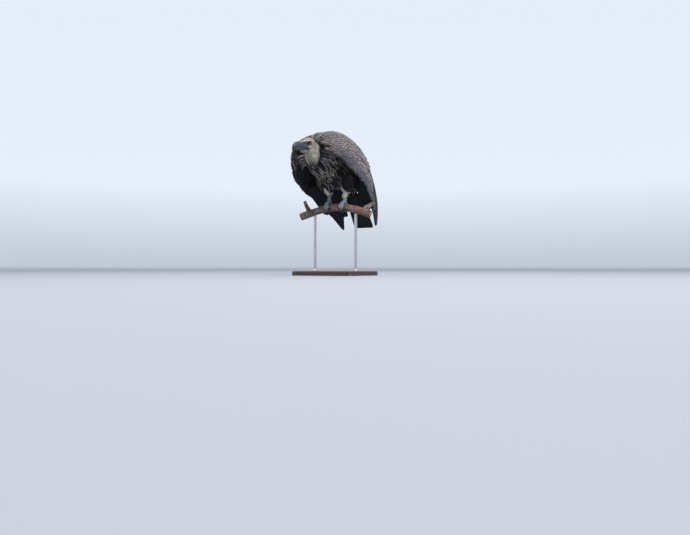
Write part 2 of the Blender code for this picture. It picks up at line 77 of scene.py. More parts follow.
ahead = Vector((-math.sin(VIEW_TURN), math.cos(VIEW_TURN), 0))
rightward = Vector((math.cos(VIEW_TURN), math.sin(VIEW_TURN), 0))
stand_place = rightward * VIEW_ASIDE - ahead * VIEW_DISTANCE + Vector((0, 0, VIEW_HEIGHT))
bpy.ops.object.camera_add(location=stand_place)
camera = bpy.context.object
camera.name = "camera"
camera.rotation_euler = (math.radians(90), 0, VIEW_TURN)
camera.data.sensor_width = SENSOR
camera.data.lens = SENSOR * FRAME_SHARE
bpy.context.scene.camera = camera
print("lens", round(camera.data.lens, 2), "mm")

# %% [markdown]
# ## A studio bowl
# A plain pale floor could end in a hard horizon line. A real studio avoids it with a floor that curves
# up into the wall, and a bowl does the same for every direction that the bird may be looked at from. Its
# wall is made to glow, which is painted light: it lights the bird softly from all round, like a light tent.

# %% Turn the floor into a bowl
def start_clean():
    """Leaves edit mode and deselects everything, because an operator acts on all that is selected."""
    if bpy.context.mode != "OBJECT":
        bpy.ops.object.mode_set(mode="OBJECT")
    bpy.ops.object.select_all(action="DESELECT")


def choose(*pieces):
    """Selects only these pieces, with the first one active."""
    start_clean()
    for piece in pieces:
        piece.select_set(True)
    bpy.context.view_layer.objects.active = pieces[0]


def edit(piece, action="SELECT"):
    """Opens one piece in edit mode, with all of it selected or none."""
    choose(piece)
    bpy.ops.object.mode_set(mode="EDIT")
    bpy.ops.mesh.select_all(action=action)


def draw_out(name, rings):
    """A first ring is drawn, and its face is then extruded onto each next ring, as one works by hand."""
    start_clean()
    bpy.ops.mesh.primitive_circle_add(vertices=len(rings[0]), fill_type="NGON")
    made = bpy.context.object
    made.name = made.data.name = name
    bpy.ops.object.mode_set(mode="EDIT")
    for number, ring in enumerate(rings):
        if number:
            bpy.ops.mesh.extrude_region_move()
        mesh = bmesh.from_edit_mesh(made.data)
        held = sorted((v for v in mesh.verts if v.select), key=lambda v: v.index)
        for vertex, place in zip(held, ring):
            vertex.co = place
    bpy.ops.mesh.select_all(action="SELECT")
    bpy.ops.mesh.normals_make_consistent(inside=False)
    bpy.ops.object.mode_set(mode="OBJECT")
    return made


def circle(count, radius, height):
    """A level ring of points."""
    turn = np.arange(count) * (2 * math.pi / count)
    return np.stack([radius * np.cos(turn), radius * np.sin(turn), np.full(count, height)], axis=1)


BOWL = ((0.5, 0), (3, 0), (7.5, 0), (8.6, 0.12), (9.5, 0.55), (10.1, 1.3), (10.4, 2.4), (10.5, 6.0))
floor = draw_out("studio_floor", [circle(48, radius, height) for radius, height in BOWL])
edit(floor, "DESELECT")
mesh = bmesh.from_edit_mesh(floor.data)
for face in mesh.faces:
    face.select = len(face.verts) > 4 and face.calc_center_median().z > 1
bpy.ops.mesh.delete(type="ONLY_FACE")
bpy.ops.mesh.select_all(action="SELECT")
bpy.ops.mesh.flip_normals()
bpy.ops.object.mode_set(mode="OBJECT")
bpy.ops.object.shade_smooth()
print("bowl faces:", len(floor.data.polygons))

# %% [markdown]
# ## Soft light
# The light is that of an overcast day, brightest above and to the right. A wide lamp overhead on that
# side is the key, weaker ones open the shadows and edge the back, and the pale world fills the rest.

# %% Hang the lamps
def hang_lamp(name, place, size, power, colour):
    start_clean()
    bpy.ops.object.light_add(type="AREA", location=place)
    lamp = bpy.context.object
    lamp.name = name
    lamp.data.size = size
    lamp.data.energy = power
    lamp.data.color = colour
    lamp.rotation_euler = (Vector((0, 0, 0.45)) - Vector(place)).to_track_quat("-Z", "Y").to_euler()


hang_lamp("key", (2.4, -1.8, 4.4), 2.4, 235, (1.0, 0.985, 0.965))
hang_lamp("fill", (-3.6, -3.2, 2.4), 3.5, 26, (0.88, 0.94, 1.0))
hang_lamp("rim", (-1.0, 3.2, 4.2), 2.6, 50, (0.94, 0.97, 1.0))
world = bpy.data.worlds.new("sky")
bpy.context.scene.world = world
world.use_nodes = True
world.node_tree.nodes["Background"].inputs["Color"].default_value = (0.70, 0.77, 0.88, 1)
world.node_tree.nodes["Background"].inputs["Strength"].default_value = 0.70
bpy.context.scene.view_settings.view_transform = "Standard"

# %% [markdown]
# ## A short way to write materials
# A finish is a small network: patterns go in, and colour, roughness and bump come out. Written out in
# full, each one would take a page, so this helper adds a node, sets its inputs and hands back its output.

# %% A helper for node networks
class Finish:
    """A material under construction."""

    def __init__(self, name, **sockets):
        self.material = bpy.data.materials.new(name)
        self.material.use_nodes = True
        self.tree = self.material.node_tree
        self.shader = self.tree.nodes["Principled BSDF"]
        for socket, value in sockets.items():
            self.shader.inputs[socket.replace("_", " ").title().replace("Ior", "IOR")].default_value = value

    def set(self, socket, value):
        if isinstance(value, bpy.types.NodeSocket):
            self.tree.links.new(value, socket)
        elif value is not None:
            socket.default_value = value

    def add(self, kind, *values, out=0, **settings):
        """Adds a node, sets its inputs in order and returns one output."""
        made = self.tree.nodes.new("ShaderNode" + kind)
        for setting, value in settings.items():
            setattr(made, setting, value)
        for socket, value in zip(made.inputs, values):
            self.set(socket, value)
        return made.outputs[out]

    def sum(self, operation, *values):
        return self.add("Math", *values, operation=operation)

    def times(self, first, second):
        return self.sum("MULTIPLY", first, second)

    def place(self):
        """Points on the object, in metres."""
        return self.add("TexCoord", out=3)

    def noise(self, scale, detail=3.0, vector=None):
        return self.add("TexNoise", vector or self.place(), None, scale, detail)

    def cell_edges(self, scale):
        """How far it is to the edge of the cell, in a pattern of small cells."""
        return self.add("TexVoronoi", self.place(), None, scale, feature="DISTANCE_TO_EDGE")

    def parts(self, vector):
        """The three numbers of a place."""
        return self.add("SeparateXYZ", vector, out=slice(0, 3))

    def stretched(self, *scale):
        """Places whose pattern is drawn out, because each axis is scaled by its own amount."""
        return self.add("Mapping", self.place(), (0, 0, 0), (0, 0, 0), scale)

    def ramp(self, value, *stops):
        """Colours or greys at positions from 0 to 1."""
        made = self.tree.nodes.new("ShaderNodeValToRGB")
        self.set(made.inputs[0], value)
        while len(made.color_ramp.elements) < len(stops):
            made.color_ramp.elements.new(1)
        for element, (at, shade) in zip(made.color_ramp.elements, stops):
            element.position = at
            element.color = (*shade, 1) if isinstance(shade, tuple) else (shade, shade, shade, 1)
        return made.outputs[0]

    def shaded(self, colour, tone):
        """A colour made lighter or darker by a tone round one."""
        return self.blend(1.0, colour, self.add("CombineXYZ", tone, tone, tone), mode="MULTIPLY")

    def blend(self, share, first, second, mode="MIX"):
        """Mixes two colours, which are the node's seventh and eighth inputs."""
        pair = [(*colour, 1) if isinstance(colour, tuple) else colour for colour in (first, second)]
        return self.add("Mix", share, *[None] * 5, *pair, out=2, data_type="RGBA", blend_type=mode)

    def spread(self, value, low, high, start=0.0, end=1.0):
        """Maps a span of one number onto another, and stops at its ends."""
        return self.add("MapRange", value, start, end, low, high)

    def attribute(self, name, out=0):
        return self.add("Attribute", out=out, attribute_name=name)

    def bump(self, height, distance, strength=1.0):
        made = self.tree.nodes.new("ShaderNodeBump")
        made.inputs["Distance"].default_value = distance
        made.inputs["Strength"].default_value = strength
        self.set(made.inputs["Height"], height)
        self.tree.links.new(made.outputs[0], self.shader.inputs["Normal"])

    def colour(self, value):
        self.set(self.shader.inputs["Base Color"], value)

    def roughness(self, value):
        self.set(self.shader.inputs["Roughness"], value)


print("a finish can", ", ".join(name for name in vars(Finish) if name[0] != "_"))

# %% Finish of the floor
def dress(piece, material):
    """Gives the piece this one material."""
    piece.data.materials.clear()
    piece.data.materials.append(material)


plaster = Finish("glowing_pale_floor", Roughness=0.9)
height = plaster.parts(plaster.place())[2]
rise = plaster.spread(height, 0.0, 1.0, 0.0, 1.6)
foot_of_wall = plaster.spread(height, 0.30, 1.0, 0.0, 0.06)
low_tone = plaster.blend(plaster.noise(1.3, 4), (0.335, 0.350, 0.385), (0.355, 0.372, 0.408))
plaster.colour(plaster.blend(rise, low_tone, (0.40, 0.42, 0.46)))
# The bowl glows, faintly on the floor and more up its paler wall: painted light that lights the bird from all
# round.
plaster.shader.inputs["Emission Color"].default_value = (0.86, 0.91, 0.99, 1)
glow = plaster.sum("MULTIPLY_ADD", rise, 0.31, plaster.times(foot_of_wall, 0.30))
plaster.set(plaster.shader.inputs["Emission Strength"], glow)
dress(floor, plaster.material)
print("floor finish:", plaster.material.name)

# %% [markdown]
# ## Lines that the solids were drawn along
# The head, the bill and the wings follow a few measured stations, and the solids used the same ones.
# They are repeated here, because the fine surface needs them smooth and not in facets. A Catmull-Rom
# spline passes through every station, which is what a modeller who trusts the measurements wants.

# %% Splines, sections and the head's own frame
PERCH_TOP = 0.360
PERCH = np.array([0, 0, PERCH_TOP])  # the branch's top, from which the bird's heights are measured
HEAD_AT = Vector((-0.001, -0.234, 0.257 + PERCH_TOP))
HEAD_TURN = Matrix.Rotation(math.radians(-8), 4, "Z") @ Matrix.Rotation(math.radians(5), 4, "X")
HEAD_PLACE = Matrix.Translation(HEAD_AT) @ HEAD_TURN
HEAD = (  # place along the head, crown, chin, half width
    (-0.034, 0.0160, -0.0260, 0.0148), (-0.026, 0.0220, -0.0276, 0.0176),
    (-0.014, 0.0295, -0.0302, 0.0228), (0.000, 0.0350, -0.0330, 0.0274),
    (0.016, 0.0375, -0.0352, 0.0298), (0.032, 0.0358, -0.0354, 0.0292),
    (0.046, 0.0280, -0.0310, 0.0234), (0.055, 0.0130, -0.0180, 0.0115),
)


def read_at(rows, places):
    """The rows read at shares of the list, on a Catmull-Rom spline."""
    rows = np.array(rows, float).reshape(len(rows), -1)
    padded = np.vstack([2 * rows[0] - rows[1], rows, 2 * rows[-1] - rows[-2]])
    places = np.asarray(places, float) * (len(rows) - 1)
    cell = np.clip(places.astype(int), 0, len(rows) - 2)
    u = (places - cell)[..., None]
    before, a, b, after = (padded[cell + k] for k in range(4))
    steep = (3 * a - before - 3 * b + after) * u**3
    return 0.5 * (2 * a + (b - before) * u + (2 * before - 5 * a + 4 * b - after) * u**2 + steep)


def superellipse(count, top, bottom):
    """Points round an oval of half size one, starting on its right. Exponents above two square a half."""
    turn = np.arange(count) * (2 * math.pi / count)
    c, s = np.cos(turn), np.sin(turn)
    power = np.where(s > 0, 2 / top, 2 / bottom)
    return np.sign(c) * abs(c) ** power, np.sign(s) * abs(s) ** power


def unit(vectors):
    return vectors / np.maximum(np.linalg.norm(vectors, axis=-1, keepdims=True), 1e-9)


def moved(matrix, points):
    """The points after the matrix has moved them."""
    turn = np.array(matrix.to_3x3())
    return np.asarray(points) @ turn.T + np.array(matrix.translation)


def head_rings():
    rings = []
    for y, crown, chin, across in read_at(HEAD, np.linspace(0, 1, 34)):
        c, s = superellipse(44, top=2.3, bottom=2.2)
        middle, half = (crown + chin) / 2, (crown - chin) / 2
        rings.append(moved(HEAD_PLACE, np.stack([c * across, 0 * c + y, middle + s * half], axis=1)))
    return rings


head_form = draw_out("head_form", head_rings())
print("head:", len(head_form.data.vertices), "points")

# %% [markdown]
# ## One skin under all the feathers
# Flesh has no seams, so the solids of head, neck, trunk, thighs, legs and wings become one surface. A
# voxel remesh melts overlapping shapes into a single closed skin. It is then thinned where the coat
# hides it, and kept fine on the head and the feet, where it shows.

# %% Melt the flesh into one form
FLESH = ["neck", "ruff", "trunk"]
for side in SIDES:
    FLESH += [f"thigh_{side}", f"tarsus_{side}", f"foot_{side}", f"wing_{side}_coverts"]
VOXEL = 0.0022
COARSE_VOXEL = 0.005


def join(target, *others):
    choose(target, *others)
    if others:
        bpy.ops.object.join()
    return target


def copy_nodes(name, nodes):
    """Copies of those solids in one object, with their loose triangles merged."""
    copies = []
    for node in nodes:
        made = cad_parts[node].copy()
        made.data = made.data.copy()
        made.parent = None
        bpy.context.scene.collection.objects.link(made)
        copies.append(made)
    joined = join(*copies)
    joined.name = joined.data.name = name
    for key in list(joined.keys()):
        del joined[key]
    edit(joined)
    bpy.ops.mesh.remove_doubles(threshold=1e-5)
    bpy.ops.object.mode_set(mode="OBJECT")
    joined.data.materials.clear()
    return joined


def apply(piece, kind, **settings):
    """Adds one modifier, sets it and applies it."""
    choose(piece)
    modifier = piece.modifiers.new(kind, kind)
    for setting, value in settings.items():
        setattr(modifier, setting, value)
    bpy.ops.object.modifier_apply(modifier=modifier.name)
    return piece


def melt(piece, voxel, rounds):
    """One closed surface in place of overlapping ones, smoothed round after round."""
    apply(piece, "REMESH", mode="VOXEL", voxel_size=voxel)
    return apply(piece, "SMOOTH", factor=0.5, iterations=rounds)


skin = melt(join(copy_nodes("skin", FLESH), head_form), VOXEL, 6)
print("form:", len(skin.data.vertices), "points")


# %% Points, normals and neighbours as arrays
def gathered(items, name, wide, kind=np.float32):
    """One property of all the items, in rows of that many numbers."""
    held = np.empty(len(items) * wide, kind)
    items.foreach_get(name, held)
    return held.reshape(-1, wide)


def points_of(piece):
    return gathered(piece.data.vertices, "co", 3).astype(float)


def normals_of(piece):
    return gathered(piece.data.vertex_normals, "vector", 3).astype(float)


def set_points(piece, points):
    piece.data.vertices.foreach_set("co", np.asarray(points, np.float32).ravel())
    piece.data.update()


def surface_of(piece):
    """A search tree of the piece's faces."""
    polygons = [tuple(p.vertices) for p in piece.data.polygons]
    return BVHTree.FromPolygons([tuple(p) for p in points_of(piece)], polygons)


def relaxed(piece, values, rounds):
    """Values at the points, each averaged with its neighbours' round after round."""
    pairs = gathered(piece.data.edges, "vertices", 2, np.int32)
    flat = np.asarray(values, float).reshape(len(values), -1)
    count = np.bincount(pairs.ravel(), minlength=len(flat))[:, None]
    for _ in range(rounds):
        total = np.zeros_like(flat)
        for column in range(flat.shape[1]):
            total[:, column] += np.bincount(pairs[:, 0], flat[pairs[:, 1], column], len(flat))
            total[:, column] += np.bincount(pairs[:, 1], flat[pairs[:, 0], column], len(flat))
        flat = 0.5 * flat + 0.5 * total / np.maximum(count, 1)
    return flat.reshape(np.shape(values))


form_points = points_of(skin)
whole_form = surface_of(skin)
torso = copy_nodes("torso_form", ["neck", "ruff", "trunk", "thigh_left", "thigh_right"])
melt(torso, COARSE_VOXEL, 12)
torso_form = surface_of(torso)
print("torso form:", len(torso.data.vertices), "points")

# %% [markdown]
# ## How deep the coat is
# A feathered body is much slimmer than it looks. The skin sinks below the form by the depth of the
# coat there: most on the breast, little on the wing, and not at all on the face and the legs. Where
# the form itself is thin, as at a wing's edge, it sinks by a share of that thickness instead.

# %% Sink the skin by the coat's depth
COAT_DEPTH = {"torso": 0.012, "thigh": 0.009, "wing": 0.004, "neck": 0.0022, "head": 0.0005, "leg": 0.0}
REGION = {
    "torso": ("trunk", "ruff"),
    "thigh": ("thigh_left", "thigh_right"),
    "wing": ("wing_left_coverts", "wing_right_coverts"),
    "neck": ("neck",),
    "head": ("head",),
    "leg": ("tarsus_left", "tarsus_right", "foot_left", "foot_right"),
}


def region_search():
    """One search tree over the flesh solids, and the region of each of its faces."""
    points, faces, names = [], [], []
    for region, nodes in REGION.items():
        for node in nodes:
            start = len(points)
            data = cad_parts[node].data
            points += [tuple(v.co) for v in data.vertices]
            faces += [tuple(start + i for i in p.vertices) for p in data.polygons]
            names += [region] * len(data.polygons)
    return BVHTree.FromPolygons(points, faces), np.array(names)


region_tree, region_names = region_search()


def regions_at(points):
    return region_names[[region_tree.find_nearest(p)[2] for p in points.tolist()]]


def thickness_at(tree, points, normals, most=0.1):
    """How far it is through the flesh, straight in from each point."""
    found = []
    for point, normal in zip(points - normals * 5e-4, -normals):
        hit = tree.ray_cast(point.tolist(), normal.tolist(), most)
        found.append(hit[3] if hit[0] else most)
    return np.array(found)


regions = regions_at(form_points)
form_normals = normals_of(skin)
depth = np.array([COAT_DEPTH[name] for name in regions])
depth = np.minimum(depth, 0.3 * thickness_at(whole_form, form_points, form_normals))
depth = relaxed(skin, depth, 14)
set_points(skin, form_points - form_normals * depth[:, None])
print("skin sunk by up to", round(depth.max() * 1000, 1), "mm")

# %% Thin out the points that feathers hide
THROAT_Y = -0.19  # the neck is bare in front of this
bare = np.isin(regions, ("head", "leg")) | ((regions == "neck") & (form_points[:, 1] < THROAT_Y))
hidden = skin.vertex_groups.new(name="hidden")
hidden.add(np.flatnonzero(~bare).tolist(), 1.0, "REPLACE")
apply(skin, "DECIMATE", ratio=0.24, vertex_group="hidden", vertex_group_factor=1.0)
skin.vertex_groups.clear()
print("skin:", sum(len(p.vertices) - 2 for p in skin.data.polygons), "triangles")

# %% [markdown]
# ## Sculpt the face
# A vulture's face is all small forms: a hard brow over a deep eye, lids that hug the eyeball, a hollow
# before the eye, the fold at the corner of the mouth and an ear that is nearly bare. The skin is split
# finer there first. Each form is then a short line that lifts or sinks the skin near it, which is what
# a sculpting brush does, and both sides are shaped at once.

# %% Split the face finer
EYE_AT = np.array([0.0169, -0.005, 0.005])
EYE_RADIUS = 0.0112
TO_HEAD = HEAD_PLACE.inverted()


def in_head(points):
    """Places in the head's own frame, where -Y is the way to the bill, with its right side folded over."""
    local = moved(TO_HEAD, points)
    return local * np.where(local[:, :1] < 0, (-1.0, 1.0, 1.0), (1.0, 1.0, 1.0))


def split(piece, inside):
    """Divides the faces whose middle is inside."""
    chosen = inside(np.array([tuple(p.center) for p in piece.data.polygons]))
    edit(piece, "DESELECT")
    mesh = bmesh.from_edit_mesh(piece.data)
    for face, pick in zip(mesh.faces, chosen.tolist()):
        if pick:
            face.select = True
    bpy.ops.mesh.subdivide(number_cuts=1)
    bpy.ops.mesh.select_all(action="SELECT")
    bpy.ops.mesh.quads_convert_to_tris()
    bpy.ops.object.mode_set(mode="OBJECT")


def on_face(points):
    """The head, and the front of the neck under it."""
    neck = (points[:, 1] < THROAT_Y) & (points[:, 2] > PERCH_TOP + 0.165) & (abs(points[:, 0]) < 0.045)
    return (np.linalg.norm(in_head(points) - (0, 0.008, 0), axis=1) < 0.052) | neck


def by_eye(points):
    return np.linalg.norm(in_head(points) - EYE_AT, axis=1) < 0.0195


OPENING = (0.66, 0.37, 0.50)  # half length, and half height above and below, as slopes from the eye's axis
LID_GAP = 0.0009  # how far the lids stand proud of the eyeball
EYE_AXIS = Vector((0.950, -0.300, 0.030)).normalized()


def round_eye(local):
    """How far out from the eye's opening, with one on the lids' margin, and the way and distance."""
    out = local - EYE_AT
    away = np.linalg.norm(out, axis=1)
    way = out / np.maximum(away, 1e-9)[:, None]
    upward = (Vector((0, 0, 1)) - EYE_AXIS * EYE_AXIS.z).normalized()
    forward = EYE_AXIS.cross(upward)
    ahead = np.maximum(way @ np.array(EYE_AXIS), 0.05)
    a, b = (way @ np.array(forward)) / ahead, (way @ np.array(upward)) / ahead
    tall = np.where(b > 0, OPENING[1], OPENING[2])
    size = ((abs(a) / OPENING[0]) ** 1.6 + (abs(b) / tall) ** 2) ** 0.55
    size = np.where(way @ np.array(EYE_AXIS) > 0.1, size, 9.0)
    return size, way, away


def by_lids(points):
    """The faces at the margins of the lids."""
    size, _, away = round_eye(in_head(points))
    return (size > 0.70) & (size < 1.40) & (away < 0.014)


def on_leg(points):
    low = points[:, 2] < PERCH_TOP + 0.085
    return low & (abs(points[:, 1]) < 0.05) & (regions_at(points) == "leg")


split(skin, lambda points: on_face(points) | on_leg(points))
split(skin, by_eye)
split(skin, by_lids)
settled = points_of(skin)
near = (on_face(settled) | on_leg(settled))[:, None]
settled = np.where(near, relaxed(skin, settled, 3), settled)
set_points(skin, settled)
print("skin with a fine face:", len(skin.data.polygons), "faces")


# %% Brow, lids, mouth and ear
FACE_FORMS = (  # from, to, how wide and how high, in the head's frame
    ((0.0120, -0.0330, 0.0150), (0.0225, -0.0150, 0.0195), 0.0034, 0.0017),  # brow
    ((0.0225, -0.0150, 0.0195), (0.0285, 0.0055, 0.0170), 0.0036, 0.0034),
    ((0.0180, -0.0220, 0.0125), (0.0270, 0.0010, 0.0135), 0.0020, -0.0012),  # under the brow
    ((0.0160, -0.0270, 0.0070), (0.0205, -0.0190, 0.0015), 0.0046, -0.0018),  # hollow before the eye
    ((0.0150, -0.0330, -0.0084), (0.0255, -0.0035, -0.0122), 0.0020, 0.0010),  # upper lip of the gape
    ((0.0150, -0.0340, -0.0106), (0.0265, -0.0010, -0.0152), 0.0010, -0.0021),  # the gape
    ((0.0150, -0.0330, -0.0132), (0.0255, -0.0035, -0.0178), 0.0022, 0.0010),  # lower lip
    ((0.0265, -0.0010, -0.0152), (0.0285, 0.0050, -0.0210), 0.0022, 0.0009),  # fold behind the mouth
    ((0.0285, 0.0100, -0.0060), (0.0300, 0.0200, -0.0090), 0.0085, 0.0014),  # cheek
    ((0.0300, 0.0245, -0.0005), (0.0300, 0.0245, -0.0045), 0.0044, 0.0011),  # rim of the ear
    ((0.0300, 0.0245, -0.0012), (0.0300, 0.0245, -0.0040), 0.0019, -0.0036),  # ear
    ((0.0150, -0.0260, -0.0255), (0.0250, 0.0120, -0.0300), 0.0036, 0.0014),  # jaw
    ((0.0000, -0.0200, -0.0320), (0.0000, 0.0150, -0.0370), 0.0040, -0.0014),  # between the jaws
    ((0.0000, -0.0240, 0.0240), (0.0000, 0.0200, 0.0390), 0.0034, -0.0007),  # parting of the crown
)
print("forms of the face:", len(FACE_FORMS))


# %% Lift and sink them
def bell(value, width):
    """One where the value is zero, and fading on both sides."""
    return np.exp(-((value / width) ** 2))


def lump(points, start, end, reach):
    """One on a short line, and fading away from it."""
    start, way = np.array(start), np.array(end) - np.array(start)
    share = np.clip(((points - start) @ way) / max(way @ way, 1e-12), 0, 1)
    gap = np.linalg.norm(points - start - share[:, None] * way, axis=1)
    return bell(gap, reach)


def eased(value, low, high):
    """Rises smoothly from zero to one between two values."""
    share = np.clip((value - low) / (high - low), 0, 1)
    return share * share * (3 - 2 * share)


def falls(value, low, high):
    """Falls smoothly from one to zero between two values."""
    return eased(-value, -high, -low)


def shape_lids(local):
    size, way, away = round_eye(local)
    inner, lid = EYE_RADIUS - 0.0018, EYE_RADIUS + LID_GAP
    target = inner + (lid - inner) * eased(size, 0.84, 1.10)
    target = target - 0.00035 * bell(size - 1.62, 0.13) + 0.0002 * bell(size - 1.3, 0.15)
    blend = eased(size, 1.45, 2.7)
    radius = target * (1 - blend) + away * blend
    radius = np.where(size > 1.15, np.maximum(radius, EYE_RADIUS + 0.0006), radius)
    held = ((size < 2.7) & (away < 0.021)) | (away < EYE_RADIUS + 0.0006)
    return np.where(held[:, None], EYE_AT + way * radius[:, None], local)


local = moved(TO_HEAD, points_of(skin))
side = np.where(local[:, :1] < 0, -1.0, 1.0) * np.array([1.0, 0, 0]) + np.array([0.0, 1, 1])
folded = local * side
lift = sum(height * lump(folded, start, end, reach) for start, end, reach, height in FACE_FORMS)
back = np.clip((folded[:, 1] - 0.012) / 0.02, 0, 1) * (folded[:, 2] > -0.03)
below = np.clip((-0.034 - folded[:, 2]) / 0.012, 0, 1)
wrinkle = np.sin(folded[:, 2] * 1150 + 3 * np.sin(folded[:, 1] * 160 + folded[:, 0] * 90)) * (0.00022 * back)
wrinkle = wrinkle + below * 0.0006 * np.sin(folded[:, 0] * 620 + 2.2 * np.sin(folded[:, 2] * 130 + 1))
close = falls(np.linalg.norm(folded - (0, 0.008, -0.01), axis=1), 0.060, 0.095) * on_face(points_of(skin))
outward = np.array(TO_HEAD.to_3x3()) @ normals_of(skin).T
shaped = folded + (lift + wrinkle)[:, None] * close[:, None] * outward.T * side
shaped = shape_lids(shaped) * side
set_points(skin, np.where((close > 0)[:, None], moved(HEAD_PLACE, shaped), points_of(skin)))
print("face lifted up to", round(lift.max() * 1000, 1), "mm and sunk to", round(lift.min() * 1000, 1), "mm")

# %% [markdown]
# ## Scales on the toes
# The toes wear hard plates across their backs, and the lower legs small round scales. The plates are
# broad enough to model: they follow the toes round the branch, so they are drawn as ridges at even
# steps of the angle round it. The small scales are left to the finish.

# %% Plates across the toes
PERCH_RADIUS = 0.020
PERCH_ARCH = 1.1  # how fast the branch falls away from its middle
TOE_RADIUS = 0.0068
SCUTE_STEP = 0.115  # radians round the branch from plate to plate


def round_perch(points):
    """The angle round the arched branch, from its top towards the front."""
    axis = PERCH_TOP - PERCH_RADIUS - PERCH_ARCH * points[:, 0] ** 2
    return np.arctan2(-points[:, 1], points[:, 2] - axis), np.hypot(points[:, 1], points[:, 2] - axis)


TOE_LEANS = (-0.62, 0.0, 0.50)  # how the front toes lean sideways as they go round the branch
FOOT_X = {"left": 0.056, "right": -0.034}


def between_toes(points, turn):
    """How near a place is to the cleft between two front toes."""
    foot = np.where(points[:, 0] > 0.011, FOOT_X["left"], FOOT_X["right"])
    aside = np.where(points[:, 0] > 0.011, 1.0, -1.0) * (points[:, 0] - foot)
    run = (PERCH_RADIUS + TOE_RADIUS) * (turn - 0.25 * turn * abs(turn)) * 0.62
    gaps = np.sort(np.abs(aside[:, None] - run[:, None] * np.array(TOE_LEANS)), axis=1)
    return bell(gaps[:, 1] - gaps[:, 0], 0.0030) * eased(turn, 0.45, 0.95)


toes = points_of(skin)
turn, out = round_perch(toes)
plate = abs(np.sin(turn * math.pi / SCUTE_STEP)) ** 0.5 - 0.5
high = (regions_at(toes) == "leg") & (toes[:, 2] < PERCH_TOP + 0.03)
weight = high * eased(out, PERCH_RADIUS + 0.7 * TOE_RADIUS, PERCH_RADIUS + 1.5 * TOE_RADIUS)
cleft = between_toes(toes, turn)
lift = 0.0006 * plate * eased(abs(turn), 0.25, 0.45) * (1 - cleft) - 0.0052 * cleft
toes = toes + normals_of(skin) * (lift * weight)[:, None]
set_points(skin, np.where(weight[:, None] > 0, 0.5 * (toes + relaxed(skin, toes, 1)), toes))
print("points on the toes:", int(high.sum()))

# %% [markdown]
# ## Unwrap the skin
# Each feather will keep its colours at the place on the skin where it is rooted. For that the skin
# gets flat coordinates of its own. Projecting it island by island follows its shape on every side.

# %% Flat coordinates of the skin
skin.data.uv_layers.new(name="OFBake")
edit(skin)
bpy.ops.uv.smart_project(angle_limit=math.radians(60), island_margin=0.002)
bpy.ops.object.mode_set(mode="OBJECT")
skin.data.calc_loop_triangles()
skin_points = points_of(skin)
triangles = gathered(skin.data.loop_triangles, "vertices", 3, np.int32)
corners = gathered(skin.data.loop_triangles, "loops", 3, np.int32)
triangle_flat = gathered(skin.data.uv_layers["OFBake"].uv, "vector", 2)[corners]
skin_tree = BVHTree.FromPolygons(skin_points.tolist(), triangles.tolist())


def flat_places(points):
    """Where points near the skin lie on its unwrap."""
    hits = [skin_tree.find_nearest(p) for p in np.asarray(points).tolist()]
    found = np.array([hit[2] for hit in hits])
    place = np.array([tuple(hit[0]) for hit in hits])
    a, b, c = (skin_points[triangles[found, k]] for k in range(3))
    across, along, out = b - a, c - a, place - a
    d00, d01, d11 = (across**2).sum(1), (across * along).sum(1), (along**2).sum(1)
    d20, d21 = (out * across).sum(1), (out * along).sum(1)
    whole = np.maximum(d00 * d11 - d01**2, 1e-18)
    second = (d11 * d20 - d01 * d21) / whole
    third = (d00 * d21 - d01 * d20) / whole
    share = np.stack([1 - second - third, second, third], axis=1)
    return (triangle_flat[found] * share[:, :, None]).sum(1)


print("unwrap spans", triangle_flat.min().round(3), "to", triangle_flat.max().round(3))

# %% [markdown]
# ## One feather of each kind
# A vane is a thin blade with a raised shaft: a flat diamond drawn across and extruded along. It is
# modelled once at unit size, as a closed shape of a few dozen faces, and thousands of copies are then
# bent along the body. Real body feathers differ mostly in outline: round ones on the wing, narrow
# pointed ones on the ruff and the breast, long lopsided ones in the flight feathers.

# %% Model the vanes
class Vane:
    """The points, faces and flat coordinates of one modelled feather."""

    def __init__(self, name, outline, section):
        rings = [[(x * (left if x < 0 else right), y, z) for x, z in section] for y, left, right in outline]
        model = draw_out(name, rings)
        edit(model)
        bpy.ops.mesh.remove_doubles(threshold=1e-3)
        bpy.ops.mesh.quads_convert_to_tris()
        bpy.ops.mesh.normals_make_consistent(inside=False)
        bpy.ops.object.mode_set(mode="OBJECT")
        self.points = points_of(model)
        self.faces = np.array([tuple(p.vertices) for p in model.data.polygons])
        bpy.data.objects.remove(model, do_unlink=True)
        print(name, len(self.faces), "triangles")


BLADE = ((-1, -0.10), (0, 0.10), (1, -0.10), (0, -0.02))  # edges, shaft and keel, in half widths
WEB = ((-1, -0.09), (-0.5, 0.0), (0, 0.075), (0.5, 0.0), (1, -0.09), (0, -0.045))
FLAT_WEB = ((-1, -0.045), (-0.5, 0.02), (0, 0.045), (0.5, 0.02), (1, -0.045), (0, -0.03))  # for close stacks


def outline_of(*stations):
    """Stations along a vane, each with one half width for both sides, or with two."""
    return [(s[0], s[1], s[-1]) for s in stations]


round_vane = Vane(
    "round_vane",
    outline_of((0, 0.05), (0.16, 0.55), (0.42, 0.92), (0.68, 1.0), (0.88, 0.76), (0.97, 0.36), (1, 0)),
    BLADE,
)
lance_vane = Vane(
    "lance_vane", outline_of((0, 0.12), (0.22, 0.80), (0.45, 1.0), (0.72, 0.66), (0.92, 0.22), (1, 0)), BLADE
)
QUILL = (  # place along the vane and half width, of the narrow primaries and of the broader rest
    (0.02, 0.10), (0.08, 0.5), (0.16, 0.86), (0.26, 0.98), (0.38, 1), (0.50, 1), (0.61, 1), (0.71, 1),
    (0.80, 1), (0.87, 0.98), (0.92, 0.92), (0.955, 0.80), (0.98, 0.60), (0.993, 0.36), (1, 0),
)
BROAD = (
    (0.02, 0.10), (0.10, 0.5), (0.20, 0.86), (0.32, 0.97), (0.46, 1), (0.60, 1), (0.74, 1), (0.86, 0.99),
    (0.93, 0.92), (0.97, 0.74), (0.99, 0.48), (1, 0),
)


